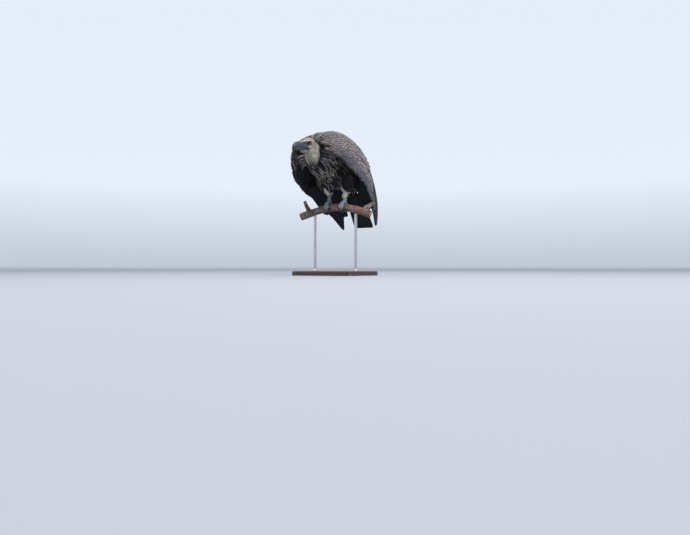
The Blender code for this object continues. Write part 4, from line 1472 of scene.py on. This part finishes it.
# %% Hang the inner wing
INNER_WING = {  # where the fan's roots begin and end, and where its tips do, above the branch
    "left": ((0.146, 0.016, 0.130), (0.076, 0.055, 0.150), (0.139, 0.146, -0.008), (0.062, 0.205, -0.050)),
    "right": (
        (-0.146, -0.034, 0.090), (-0.078, 0.050, 0.120), (-0.136, 0.110, -0.040), (-0.062, 0.200, -0.060),
    ),
}


def hang_inner_wing(side, count=16, layers=3):
    first_root, last_root, first_tip, last_tip = np.array(INNER_WING[side]) + PERCH
    share = np.tile(np.linspace(0, 1, count) ** 1.2, layers)[:, None]
    layer = np.repeat(np.arange(layers), count)[:, None]
    wobble = 0.003 * chance.standard_normal((len(share), 3))
    root = first_root + (last_root - first_root) * share
    tip = first_tip + (last_tip - first_tip) * share + wobble
    tip = tip + (root - tip) * (0.24 * layer + 0.05 * chance.random((len(share), 1)))
    facing = np.cross(last_root - first_root, first_tip - first_root)
    facing = unit(facing * -np.sign(facing[1]))
    run = np.linspace(0, 1, 7)[None, :, None]
    lines = root[:, None] + (tip - root)[:, None] * run
    lines = lines + facing * (0.007 * np.sin(run * math.pi) + 0.0022 * layer[:, None])
    outs = np.broadcast_to(facing, lines.shape)
    colours = streaked(toned(UNDERWING_DARK_SHADED, lines[:, 0], 0.1, 0.15), 0.25)
    lay_coat(f"inner_wing_{side}", broad_vane, lines, outs, 0.0140, colours, flight_feather, "dark_feather")


for side in SIDES:
    hang_inner_wing(side)

# %% [markdown]
# ## Tail
# Twelve tail feathers close like a hand of cards, with the middle pair on top.

# %% Lay the tail
TAIL_BACK = ((0, 0.128, 0.112), (0, 0.190, 0.040), (0, 0.250, -0.045), (0, 0.290, -0.106))
TAIL_HALF_WIDTH = (0.030, 0.042, 0.055, 0.060)
TAIL_ARCH = 0.016
TAIL_THICKNESS = 0.009


def tail_lines(aside, reach, steps=9):
    """Lines down the tail at shares of its half width, each to its own share of its length."""
    share = reach[:, None] * np.linspace(0.02, 1, steps)
    back = read_at(TAIL_BACK, share)
    wide = read_at(TAIL_HALF_WIDTH, share)[..., 0]
    along = unit(np.gradient(back, axis=1))
    out = unit(np.cross(np.array([1.0, 0, 0]), along))
    place = back + wide[..., None] * aside[:, None, None] * np.array([1.0, 0, 0])
    place = place - out * (TAIL_ARCH * aside**2)[:, None, None] + PERCH
    return place, unit(out + aside[:, None, None] * np.array([0.5, 0, 0]))


order = np.array([-1, 1, -0.82, 0.82, -0.64, 0.64, -0.46, 0.46, -0.28, 0.28, -0.10, 0.10])
aside = order * 0.72
lines, outs = tail_lines(aside, 1.0 - 0.07 * aside**2)
lines = lines - outs * (TAIL_THICKNESS * (0.15 + 0.7 * abs(order)))[:, None, None]
colours = streaked(toned(FLIGHT_DARK, lines[:, 0]), 0.5)
lay_coat("tail_feathers", broad_vane, lines, outs, 0.026, colours, flight_feather, "dark_feather", "tail")

# %% [markdown]
# ## Mantle and thighs
# Large, loose feathers cover the back where the wings meet, so that no gap shows from above. The
# thighs wear soft dark trousers, whose last feathers hang round the top of the bare lower leg, over a
# small pale puff of down.

# %% Lay the mantle and the trousers
def on_back(places):
    x, y, z = (places - PERCH).T
    return (abs(x) < 0.062) & (y > -0.19) & (y < 0.10) & (z > 0.258) & ~near_face(places)


outer = melt(join(copy_nodes("outer_form", FLESH), copy_nodes("outer_head", ["head"])), COARSE_VOXEL, 10)
cover("mantle_feathers", outer, surface_of(outer), 0.0112, 0.062, 0.0100, round_vane, body_feather, on_back,
      root_depth=0.008, tip_height=0.001, colour=lambda places: (0.92 * BACK_BROWN, 0.9))


def on_puff(side):
    """The front of the thigh's lower end."""
    x, reach = (0.055, 0.014) if side == "left" else (-0.040, 0.008)

    def accept(places):
        p = places - PERCH - (x, 0, 0)
        ragged = chance.random(len(p)) < 1.2 - (abs(p[:, 0]) / reach) ** 2 - ((p[:, 2] - 0.060) / 0.020) ** 2
        return ragged & (p[:, 1] < 0.032) & (p[:, 2] > 0.048)
    return accept


for side in SIDES:
    cover(f"thigh_feathers_{side}", torso, torso_form, 0.0082, 0.046, 0.0060, lance_vane, breast_feather,
          in_region("thigh", side, PERCH_TOP + 0.055), thigh_flow, root_depth=0.007, tip_height=0.001)
    cover(f"thigh_puff_{side}", torso, torso_form, 0.0034, 0.030, 0.0014, lance_vane, down_finish,
          on_puff(side), thigh_flow, "neck_down", root_depth=0.001, tip_height=0.0045,
          colour=lambda places: ((0.62, 0.62, 0.59), 0.0))
bpy.data.objects.remove(outer, do_unlink=True)
bpy.data.objects.remove(torso, do_unlink=True)

# %% [markdown]
# ## Loose feathers at the shoulders
# The hunched wings push some feathers of the ruff out of their rows. A few bridge the hollow at the
# left shoulder, others lie under it, and a fan of them drapes from the neck onto the right wing.

# %% Lay the loose feathers
LOOSE = (  # how many, half width, and points along the first and the last, above the branch
    (3, 0.0034,
     ((0.046, -0.187, 0.2645), (0.066, -0.209, 0.2695), (0.088, -0.225, 0.2660), (0.112, -0.223, 0.2565)),
     ((0.048, -0.187, 0.2580), (0.066, -0.206, 0.2625), (0.086, -0.222, 0.2600), (0.104, -0.224, 0.2530))),
    (3, 0.0036,
     ((0.054, -0.174, 0.2425), (0.078, -0.199, 0.2405), (0.101, -0.218, 0.2350), (0.121, -0.222, 0.2285)),
     ((0.066, -0.180, 0.2350), (0.088, -0.198, 0.2320), (0.110, -0.214, 0.2265), (0.130, -0.214, 0.2205))),
    (17, 0.0046,
     ((-0.034, -0.186, 0.2180), (-0.060, -0.193, 0.2210), (-0.084, -0.191, 0.2180), (-0.106, -0.180, 0.2120)),
     ((-0.050, -0.152, 0.182), (-0.072, -0.153, 0.176), (-0.094, -0.140, 0.167), (-0.114, -0.116, 0.156))),
)
lines, widths = [], []
for count, half, first, last in LOOSE:
    for share in np.linspace(0, 1, count):
        run = np.linspace(0, 0.76 + 0.26 * chance.random(), 10)
        wobble = 0.0022 * chance.standard_normal(3) * np.linspace(0.3, 1, 10)[:, None]
        line = read_at(first, run) * (1 - share) + read_at(last, run) * share
        lines.append(line + wobble + PERCH)
        widths.append(half)
lines = np.array(lines)
outs = np.broadcast_to(unit(np.array([0.45, -0.85, 0.30])), lines.shape)
tones = toned(np.array([0.075, 0.066, 0.068]), lines[:, 0], 0.05, 0.25)
colours = streaked(tones, 1.0)
lay_coat("loose_feathers", lance_vane, lines, outs, widths, colours, breast_feather, "brown_feather")

# %% [markdown]
# ## Finish the skin
# The skin wears the colours of whatever grows on it, so that a gap between feathers never shines
# through. On the face it is softly glossy and finely wrinkled, and on the legs it is scaled.

# %% Skin finish
points = points_of(skin)
base, strength = plumage(points, normals_of(skin))
bare = bareness(points)
leg = regions_at(points) == "leg"
base = mixed(base, face_colour(points), bare)
base = np.where(leg[:, None], toned(LEG_BLUE, points, 0.10, 0.0), base)
paint(skin, "plumage", streaked(base, leg.astype(float)))
hide = Finish("skin_finish", Specular_IOR_Level=0.4, Subsurface_Weight=0.0)
scale_edge = hide.cell_edges(430)
scaled = hide.attribute("plumage", out=3)
groove = hide.times(hide.spread(scale_edge, 1.0, 0.0, 0.0, 0.16), scaled)
pores = hide.noise(1500, 3)
mottle = hide.spread(hide.noise(420, 4), 0.80, 1.20, 0.25, 0.75)
colour = hide.shaded(hide.attribute("plumage"), mottle)
hide.colour(hide.blend(hide.times(groove, 0.6), colour, (0.035, 0.036, 0.042)))
hide.roughness(hide.spread(pores, 0.48, 0.72))
hide.bump(hide.sum("MULTIPLY_ADD", groove, -0.5, pores), 0.00035, 0.6)
dress(skin, hide.material)
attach(skin, "root")
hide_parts("head", *FLESH)
print("skin points:", len(points), "bare:", int((bare > 0.5).sum()))

# %% [markdown]
# ## The bill
# A vulture's bill is deep, narrow and hooked, with a soft cere over its root and a slit nostril in it.
# A round section is extruded along the measured edges, from inside the face to the tip, and a
# subdivision makes it smooth. The cere's swelling, the groove before it and the nostrils are pressed
# into the points afterwards, because they cross the sections at a slant.

# %% Extrude the two halves of the bill
UPPER_BILL = (  # upper edge's place and height, lower edge's place and height, half width
    (-0.0200, 0.0135, -0.0200, -0.0085, 0.0120), (-0.0343, 0.0158, -0.0343, -0.0105, 0.0146),
    (-0.0480, 0.0160, -0.0480, -0.0117, 0.0128), (-0.0620, 0.0138, -0.0600, -0.0127, 0.0109),
    (-0.0745, 0.0074, -0.0700, -0.0132, 0.0088), (-0.0838, -0.0030, -0.0768, -0.0155, 0.0066),
    (-0.0884, -0.0152, -0.0815, -0.0208, 0.0043), (-0.0892, -0.0262, -0.0848, -0.0275, 0.0023),
    (-0.0880, -0.0335, -0.0866, -0.0332, 0.0009),
)
LOWER_BILL = (
    (-0.0200, -0.0100, -0.0200, -0.0235, 0.0100), (-0.0343, -0.0096, -0.0343, -0.0264, 0.0126),
    (-0.0480, -0.0103, -0.0480, -0.0266, 0.0113), (-0.0600, -0.0112, -0.0600, -0.0254, 0.0092),
    (-0.0690, -0.0125, -0.0695, -0.0230, 0.0066), (-0.0738, -0.0160, -0.0745, -0.0198, 0.0034),
    (-0.0746, -0.0176, -0.0750, -0.0186, 0.0010),
)


def bill_half(name, table, rings, sides, top, bottom):
    """One half of the bill, from its edges at points along it."""
    c, s = superellipse(sides, top, bottom)
    shaped = []
    for row in read_at(table, np.linspace(0, 1, rings)):
        middle, half = (row[:2] + row[2:4]) / 2, (row[:2] - row[2:4]) / 2
        ring = np.column_stack([c * row[4], middle[0] + s * half[0], middle[1] + s * half[1]])
        shaped.append(moved(HEAD_PLACE, ring))
    return apply(draw_out(name, shaped), "SUBSURF", levels=1, render_levels=1)


def press(piece, amount):
    """Lifts the piece's points along their normals by an amount worked out in the head's frame."""
    places = moved(TO_HEAD, points_of(piece))
    set_points(piece, points_of(piece) + normals_of(piece) * amount(places)[:, None])


def cere_edge(places):
    """How far a place lies behind the front edge of the cere."""
    return places[:, 1] + 0.0515 + 0.16 * (places[:, 2] - 0.003)


def upper_relief(places):
    behind = cere_edge(places)
    swell = 0.0006 * eased(behind, -0.0004, 0.0030) - 0.0004 * bell(behind, 0.0009)
    y, z = places[:, 1] + 0.0452, places[:, 2] - 0.0078
    slit = np.hypot((y + 0.25 * z) / 0.0012, z / 0.0031)
    nostril = 0.0005 * bell(slit - 1.5, 0.4) - 0.0030 * bell(slit, 1.0)
    crest = 0.0004 * bell(places[:, 0], 0.0022) * (places[:, 2] > 0)
    return swell + nostril * (abs(places[:, 0]) > 0.005) + crest


def lower_relief(places):
    edge = places[:, 1] + 0.0470
    return 0.0004 * eased(edge, 0, 0.003) - 0.0003 * bell(edge, 0.0009)


bill_upper = bill_half("bill_upper_horn", UPPER_BILL, 44, 40, 2.1, 5.0)
bill_lower = bill_half("bill_lower_horn", LOWER_BILL, 26, 32, 5.0, 2.2)
press(bill_upper, upper_relief)
press(bill_lower, lower_relief)
print("bill:", len(bill_upper.data.polygons) + len(bill_lower.data.polygons), "faces")

# %% Horn finish of the bill
HORN_BLUE = np.array([0.037, 0.054, 0.072])
CERE_BLUE = np.array([0.042, 0.060, 0.078])
bill_forms = [surface_of(bill_lower), surface_of(bill_upper)]
for piece, node, opposite in zip((bill_upper, bill_lower), ("bill_upper", "bill_lower"), bill_forms):
    places = moved(TO_HEAD, points_of(piece))
    gap = np.array([opposite.find_nearest(place)[3] for place in points_of(piece).tolist()])
    # Painted shade: the horn darkens where the two halves of the bill close on each other.
    mouth = 1 - 0.8 * falls(gap, 0.0010, 0.0034)[:, None]
    soft = eased(cere_edge(places), -0.0005, 0.0015)
    tip = eased(-places[:, 1] - 0.4 * places[:, 2], 0.076, 0.094)
    tone = 1 + 0.10 * patchy(places, 0.004) + 0.08 * patchy(places, 0.0013, 5.0)
    hard = HORN_BLUE * (1 - 0.65 * tip[:, None])
    colours = mixed(hard, CERE_BLUE, soft) * tone[:, None]
    paint(piece, "horn", streaked(colours * mouth, soft))
    piece.data.shade_smooth()
    keep(piece, node, slot="bill_horn")

horn = Finish("bill_horn_finish", Specular_IOR_Level=0.5, Coat_Weight=0.10, Coat_Roughness=0.25)
softness = horn.attribute("horn", out=3)
layers = horn.noise(60, 4, horn.stretched(1.0, 0.28, 4.2))
grain = horn.noise(1300, 3)
streak = horn.spread(layers, 0.80, 1.22, 0.3, 0.7)
horn.colour(horn.shaded(horn.attribute("horn"), streak))
horn.roughness(horn.sum("MULTIPLY_ADD", softness, 0.16, horn.spread(grain, 0.30, 0.46)))
horn.bump(horn.sum("MULTIPLY_ADD", grain, 0.35, layers), 0.0003, 0.5)
for piece in (bill_upper, bill_lower):
    dress(piece, horn.material)
print("bill finish:", horn.material.name)

# %% [markdown]
# ## The eyes
# The eyeball is large, dark and wet, and only a small part of it shows between the lids. It is a ball
# drawn out ring by ring about the way it looks, with the cornea as a flatter dome in front. Rings at
# known angles let the pupil, the iris and the dark rim be exact circles.

# %% Extrude the eyeballs
CORNEA = 0.60  # the cornea's half angle, in radians


def eyeball(side):
    sign = SIGN[side]
    axis = Vector((EYE_AXIS.x * sign, EYE_AXIS.y, EYE_AXIS.z))
    turn = axis.to_track_quat("Z", "Y").to_matrix()
    middle = Vector((EYE_AT[0] * sign, EYE_AT[1], EYE_AT[2]))
    rings = []
    for angle in np.linspace(0.04, math.pi - 0.04, 30):
        dome = 0.0006 * max(0.0, math.cos(angle / CORNEA * math.pi / 2)) ** 0.7 if angle < CORNEA else 0.0
        reach = EYE_RADIUS + dome
        ring = circle(48, reach * math.sin(angle), reach * math.cos(angle))
        rings.append(moved(HEAD_PLACE @ Matrix.Translation(middle) @ turn.to_4x4(), ring))
    made = draw_out(f"ball_{side}", rings)
    made.data.shade_smooth()
    places = points_of(made) - np.array(HEAD_PLACE @ middle)
    facing = unit(places) @ np.array((HEAD_PLACE.to_3x3() @ axis).normalized())
    angle = np.arccos(np.clip(facing, -1, 1)) / math.pi
    paint(made, "ring", np.column_stack([angle, angle, angle, np.ones(len(angle))]))
    dress(made, wet.material)
    keep(made, f"eye_{side}", slot="eye")


wet = Finish("eye_finish", Roughness=0.03, Specular_IOR_Level=0.35, IOR=1.38)
ring = wet.attribute("ring")
iris = wet.blend(wet.noise(2200, 3), (0.010, 0.005, 0.003), (0.030, 0.014, 0.007))
pupil = wet.ramp(ring, (0.0, 0.0), (0.100, 0.0), (0.112, 1.0))
front = wet.blend(pupil, (0.002, 0.002, 0.002), iris)
rim = wet.ramp(ring, (0.0, 0.0), (0.150, 0.0), (0.168, 1.0))
white = wet.blend(wet.noise(900, 2), (0.030, 0.024, 0.022), (0.060, 0.046, 0.042))
wet.colour(wet.blend(rim, front, white))
for side in SIDES:
    eyeball(side)
print("eyes look along", tuple(round(v, 2) for v in EYE_AXIS))

# %% [markdown]
# ## Down on the head and the neck
# A young white-backed vulture has short, close down on its head and longer, woolly down on its neck.
# Small three-sided tufts are planted all over both, lying back from the bill, and they leave the slate
# skin before the eye bare. They take the colour of the skin they stand on, a little lighter.

# %% Plant the down
def head_flow(places):
    """Straight down on the neck, and back from the bill on the head."""
    high = eased(in_head(places)[:, 2], -0.034, -0.012)
    return mixed(np.array([0.0, 0.12, -1.0]), np.array([0.0, 0.9, -0.35]), high)


def slate_share(places):
    """One on the bare slate skin of the face."""
    local = in_head(places)
    found = [lump(local, start, end, reach) for start, end, reach, colour in FACE_COLOURS if colour == SLATE]
    return np.max(found, axis=0)


def plant_down(name, spacing, length, half, accept, lift):
    places = places_on(skin, 60000, inside=accept)
    places = places[scatter(places, spacing)]
    lengths = length * (1 + 0.2 * chance.standard_normal(len(places)))
    lean = 0.22 * chance.standard_normal((len(places), 3))
    lines, outs = trail(skin_tree, places, lambda p: head_flow(p) + lean, lengths, steps=4)
    lines = raised(lines, outs, 0.0007, lift * (0.6 + 0.8 * chance.random(len(places))))
    colours = toned(face_colour(lines[:, 0]) * 1.12, lines[:, 0], 0.05, 0.10)
    half = half * (1 + 0.15 * chance.standard_normal(len(places)))
    lay_coat(name, down_vane, lines, outs, half, streaked(colours, 0.0), down_finish, "neck_down")


def on_crown(places):
    local = in_head(places)
    clear = (np.linalg.norm(local - EYE_AT, axis=1) > 0.0165) & (local[:, 1] > -0.029)
    return (bareness(places) > 0.12) & (local[:, 2] > -0.030) & clear & (slate_share(places) < 0.42)


def on_neck(places):
    local = in_head(places)
    return (bareness(places) > 0.04) & (local[:, 2] <= -0.026) & (slate_share(places) < 0.30)


plant_down("head_down", 0.00135, 0.0050, 0.00036, on_crown, 0.0005)
plant_down("neck_down_tufts", 0.00170, 0.0090, 0.00055, on_neck, 0.0016)

# %% Hang the throat's down
def on_throat(places):
    x, y, z = in_head(places).T
    return (z < -0.0235) & (z > -0.050) & (y < -0.004) & (abs(x) < 0.014)


roots = places_on(skin, 80000, inside=on_throat)
roots = roots[scatter(roots, 0.00125)]
outward = np.array([tuple(skin_tree.find_nearest(place)[1]) for place in roots.tolist()])
hang = unit(0.35 * outward + np.array([0.0, 0.30, -0.7]) + 0.22 * chance.standard_normal((len(roots), 3)))
length = 0.0075 * (1 + 0.25 * chance.standard_normal(len(roots)))
run = np.linspace(-0.12, 1, 5)[None, :, None]
lines = roots[:, None] + hang[:, None] * run * length[:, None, None]
outs = np.broadcast_to(unit(outward + np.array([0.0, -1.0, 0.2]))[:, None], lines.shape)
colours = streaked(toned(0.55 * NECK_OLIVE + 0.25 * THROAT_PALE_LIT, roots, 0.15, 0.20), 0.0)
lay_coat("throat_down", down_vane, lines, outs, 0.0005, colours, down_finish, "neck_down")

# %% [markdown]
# ## White puffs above the legs
# Out of the dark trousers hangs a tuft of whitish down on the front of each lower leg. Its strands
# are rooted in a ring round the top of the leg and fall over each other down the shank.

# %% Hang the puffs
ANKLES = {"left": (0.057, 0.034, 0.088), "right": (-0.045, 0.034, 0.082)}


def puff(side, count, length):
    top = ANKLES[side] + PERCH
    low = np.array([FOOT_X[side], 0, PERCH_TOP + 0.020 - PERCH_ARCH * FOOT_X[side] ** 2])
    share = 0.12 + 0.36 * chance.random(count)
    turned = -math.pi / 2 + 0.85 * chance.standard_normal(count)
    ring = np.stack([np.cos(turned), np.sin(turned), 0 * turned], axis=1)
    start = top + (low - top) * share[:, None] + ring * 0.0085
    reach = length * np.clip(1 + 0.35 * chance.standard_normal(count), 0.4, 1.5)[:, None, None]
    run = np.linspace(0, 1, 5)[None, :, None]
    belly = np.sin(run * math.pi * 0.6) * (0.0045 + 0.004 * chance.random((count, 1, 1)))
    lines = start[:, None] + unit(low - top) * run * reach + ring[:, None] * belly
    outs = np.broadcast_to(ring[:, None], lines.shape)
    colours = streaked(toned(np.array([0.60, 0.60, 0.57]), lines[:, 0], 0.10, 0.12), 0.0)
    lay_coat(f"leg_puff_{side}", lance_vane, lines, outs, 0.0013, colours, down_finish, "neck_down")


puff("left", 320, 0.027)
puff("right", 120, 0.015)

# %% [markdown]
# ## Claws
# The claws are dark, round on top and flatter below, and hook round the branch. Each is an oval that
# is extruded along the way its toe goes on, and shrinks to a blunt tip, for a vulture's claws are worn.

# %% Extrude the claws
TOES = {  # sideways lean, how far round the branch the toe reaches, and the claw after it
    "inner": (-0.62, 1.75, 0.95), "middle": (0.0, 2.20, 0.85),
    "outer": (0.50, 1.80, 0.80), "hind": (0.10, -1.25, -1.00),
}
CLAW_RADIUS = 0.0042
TOE_SEAT = 0.0006
TOE_PATH = PERCH_RADIUS + TOE_RADIUS + TOE_SEAT


def foot_seat(side):
    """The move from a foot's own zero to its place on the arched branch."""
    x = FOOT_X[side]
    turn = Matrix.Rotation(math.atan(2 * PERCH_ARCH * x), 4, "Y")
    below = Matrix.Translation((0, 0, -PERCH_RADIUS))
    mirror = Matrix.Scale(SIGN[side], 4, Vector((1, 0, 0)))
    seat = Matrix.Translation((x, 0, PERCH_TOP - PERCH_ARCH * x**2))
    return seat @ below @ turn @ below.inverted() @ mirror


def claw(side, toe):
    lean, reach, hook = TOES[toe]
    turned = np.linspace(reach - 0.10 * math.copysign(1, reach), reach + hook, 18)
    sideways = lean * TOE_PATH * (turned - 0.25 * turned * abs(turned)) * 0.62
    path = np.stack([sideways, -TOE_PATH * np.sin(turned), TOE_PATH * (np.cos(turned) - 1)], axis=1)
    path[:, 2] += TOE_RADIUS + TOE_SEAT
    outward = unit((path - (0, 0, -PERCH_RADIUS)) * (0, 1, 1))
    run = np.linspace(0, 1, 18)
    path = path - outward * ((TOE_RADIUS - 0.7 * CLAW_RADIUS) * run)[:, None]
    along = unit(np.gradient(path, axis=0))
    across = unit(np.array([1.0, 0, 0]) - along * along[:, :1])
    out = np.cross(along, across)
    c, s = superellipse(16, 2.0, 2.0)
    thick = CLAW_RADIUS * (1 - 0.90 * run**1.5)
    place = foot_seat(side)
    rings = []
    for middle, a, b, radius in zip(path, across, out, thick):
        rings.append(moved(place, middle + radius * (np.outer(0.92 * c, a) + np.outer(1.05 * s, b))))
    made = draw_out(f"claw_{side}_{toe}_horn", rings)
    made.data.shade_smooth()
    dress(made, nail.material)
    keep(made, f"claw_{side}_{toe}", slot="claw_horn")


nail = Finish("claw_finish", Specular_IOR_Level=0.5)
ridges = nail.noise(500, 4)
nail.colour(nail.ramp(ridges, (0.3, (0.014, 0.015, 0.018)), (0.7, (0.040, 0.042, 0.048))))
nail.roughness(nail.spread(ridges, 0.26, 0.46, 0.3, 0.7))
nail.bump(ridges, 0.0002, 0.4)
for side in SIDES:
    for toe in TOES:
        claw(side, toe)
print("claws:", 2 * len(TOES))

# %% [markdown]
# ## Bark
# The branch is dead wood with thin, reddish grey bark, cracked lengthways, and pale sawn ends. A fine
# remesh gives it points enough, and cracks and pits are then pressed inwards, so that the toes, which
# rest on the bark's outside, still touch it. Under the feet it is nearly smooth.

# %% Crack the bark
bark = melt(copy_nodes("perch_bark", ["perch"]), 0.00175, 3)
STUB_ENDS = (  # middle of the sawn end, and the way it faces
    ((-0.1730, -0.0238, 0.0190), (-0.39, -0.24, 0.89)),
    ((0.1985, 0.0497, -0.0055), (0.62, 0.50, 0.60)),
)
YEAR_RING = 0.0011
places, normals = points_of(bark), normals_of(bark)
down_low = places - PERCH
axis = np.column_stack([down_low[:, 1], down_low[:, 2] + PERCH_RADIUS + PERCH_ARCH * down_low[:, 0] ** 2])
radial = np.hypot(*axis.T)
cut_share = eased(abs(normals[:, 0]), 0.72, 0.90) * (abs(down_low[:, 0]) > 0.186)
for middle, facing in STUB_ENDS:
    close = np.linalg.norm(down_low - middle, axis=1)
    end = eased(normals @ unit(np.array(facing)), 0.72, 0.90) * (close < 0.016)
    radial = np.where(end > 0.1, close, radial)
    cut_share = np.maximum(cut_share, end)
long_way = down_low * (0.30, 1, 1)
plates = patchy(long_way, 0.0042) + 0.5 * patchy(long_way, 0.0019, 3.0)
crack = bell(plates, 0.16)
fine = patchy(down_low * (0.5, 1, 1), 0.0011, 5.0)
wide = patchy(down_low, 0.017, 1.0)
feet = sum(bell(down_low[:, 0] - x, 0.022) for x in FOOT_X.values())
rough = (1 - 0.8 * np.clip(feet, 0, 1)) * (1 - cut_share)
sink = 0.0011 * crack + 0.00025 * (1 + fine) + 0.0006 * (1 + wide)
year = np.sin(radial / YEAR_RING * 2 * math.pi)
set_points(bark, places - normals * (sink * rough + 0.00012 * year * cut_share + 0.0001)[:, None])
print("bark:", len(places), "points, cut ends:", int((cut_share > 0.5).sum()))

# %% Bark finish
tone = 1 + 0.22 * wide + 0.10 * patchy(down_low, 0.006, 8.0)
warm = np.array([0.180, 0.105, 0.083])
grey = np.array([0.205, 0.180, 0.165])
mix = eased(patchy(down_low * (0.5, 1, 1), 0.011, 4.0), -0.2, 0.7)
# The cracks are painted darker, as shade that falls into them.
colours = mixed(warm, grey, mix) * tone[:, None] * (1 - 0.72 * crack)[:, None]
sawn = np.array([0.50, 0.37, 0.24]) * (1 - 0.25 * (0.5 + 0.5 * year))[:, None]
paint(bark, "wood", streaked(mixed(colours, sawn, cut_share), cut_share))
rind = Finish("bark_finish", Roughness=0.88, Specular_IOR_Level=0.25)
flakes = rind.noise(420, 5, rind.stretched(0.25, 1.0, 1.0))
dust = rind.spread(flakes, 0.62, 1.35, 0.3, 0.7)
colour = rind.shaded(rind.attribute("wood"), dust)
lichen = rind.spread(rind.noise(55, 4), 0.0, 0.55, 0.60, 0.70)
uncut = rind.sum("SUBTRACT", 1.0, rind.attribute("wood", out=3))
bark_only = rind.times(lichen, uncut)
rind.colour(rind.blend(bark_only, colour, (0.30, 0.29, 0.26)))
rind.bump(flakes, 0.0008, 0.7)
dress(bark, rind.material)
bark.data.shade_smooth()
keep(bark, "perch", slot="bark")
print("bark finish:", rind.material.name)

# %% [markdown]
# ## The display stand
# A museum stand is plain: an oiled dark wooden plate and two brushed steel rods. Each rod ends in a
# flange with three screws. The plate's own solid is right and only gets its grain. The rods are turned
# again with finer edges, and one screw is modelled and copied.

# %% Wood of the base
wood = Finish("oiled_wood", Specular_IOR_Level=0.4, Coat_Weight=0.12, Coat_Roughness=0.3)
bands = wood.noise(2.4, 6, wood.stretched(2.2, 26.0, 26.0))
pores = wood.noise(60.0, 3, wood.stretched(3.0, 60.0, 60.0))
WOOD_TONES = ((0.30, (0.020, 0.012, 0.008)), (0.50, (0.052, 0.031, 0.020)), (0.70, (0.088, 0.054, 0.034)))
tone = wood.ramp(bands, *WOOD_TONES)
pore = wood.spread(pores, 0.55, 1.1, 0.35, 0.55)
wood.colour(wood.shaded(tone, pore))
wood.roughness(wood.spread(pores, 0.34, 0.52))
wood.bump(wood.sum("MULTIPLY_ADD", pores, 0.5, bands), 0.0006, 0.35)
dress(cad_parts["stand_base"], wood.material)
print("base finish:", wood.material.name)

# %% Turn the rods
BASE_TOP = 0.022
ROD_RADIUS = 0.007
ROD_OFFSET = 0.125
FLANGE = (  # radius and height above the base
    (0.0165, 0.0003), (0.0190, 0.0003), (0.0190, 0.0045), (0.0186, 0.0055), (0.0178, 0.0062),
    (0.0100, 0.0063), (0.0080, 0.0070), (0.0071, 0.0086), (ROD_RADIUS, 0.0105),
)
SCREW_REACH = 0.0135


def screw(number, middle):
    """A domed screw with a slot."""
    profile = ((0.0026, 0.0), (0.0026, 0.0006), (0.0022, 0.0013), (0.0012, 0.0017), (0.0003, 0.0018))
    made = draw_out(f"screw_{number}", [circle(20, r, z) for r, z in profile])
    head = points_of(made)
    slot = (abs(head[:, 1]) < 0.0004) & (head[:, 2] > 0.0010)
    head[:, 2] -= np.where(slot, 0.0008, 0)
    set_points(made, head + np.array(middle))
    return made


def rod(name, x):
    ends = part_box(name)
    rings = [circle(40, r, BASE_TOP + z) for r, z in FLANGE]
    rings += [circle(40, ROD_RADIUS, z) for z in np.linspace(0.05, ends[1][2] - 0.002, 5)]
    made = draw_out(f"{name}_turned", [ring + (x, 0, 0) for ring in rings])
    screws = []
    for number in range(3):
        turned = math.radians(90 + 120 * number)
        middle = (x + SCREW_REACH * math.cos(turned), SCREW_REACH * math.sin(turned), BASE_TOP + 0.0061)
        screws.append(screw(number, middle))
    join(made, *screws)
    bpy.ops.object.shade_smooth_by_angle(angle=math.radians(35))
    dress(made, steel.material)
    print(name, "goes up to", round(ends[1][2], 3))
    keep(made, name, slot="stand_steel")


steel = Finish("brushed_steel", Metallic=1.0, Specular_IOR_Level=0.5)
brushed = steel.noise(9.0, 4, steel.stretched(220.0, 220.0, 2.5))
wear = steel.noise(38, 3)
steel.colour(steel.ramp(wear, (0.3, (0.50, 0.51, 0.52)), (0.7, (0.62, 0.62, 0.62))))
steel.roughness(steel.spread(brushed, 0.24, 0.44, 0.3, 0.7))
steel.bump(brushed, 0.0002, 0.25)
rod("stand_rod_left", ROD_OFFSET)
rod("stand_rod_right", -ROD_OFFSET)
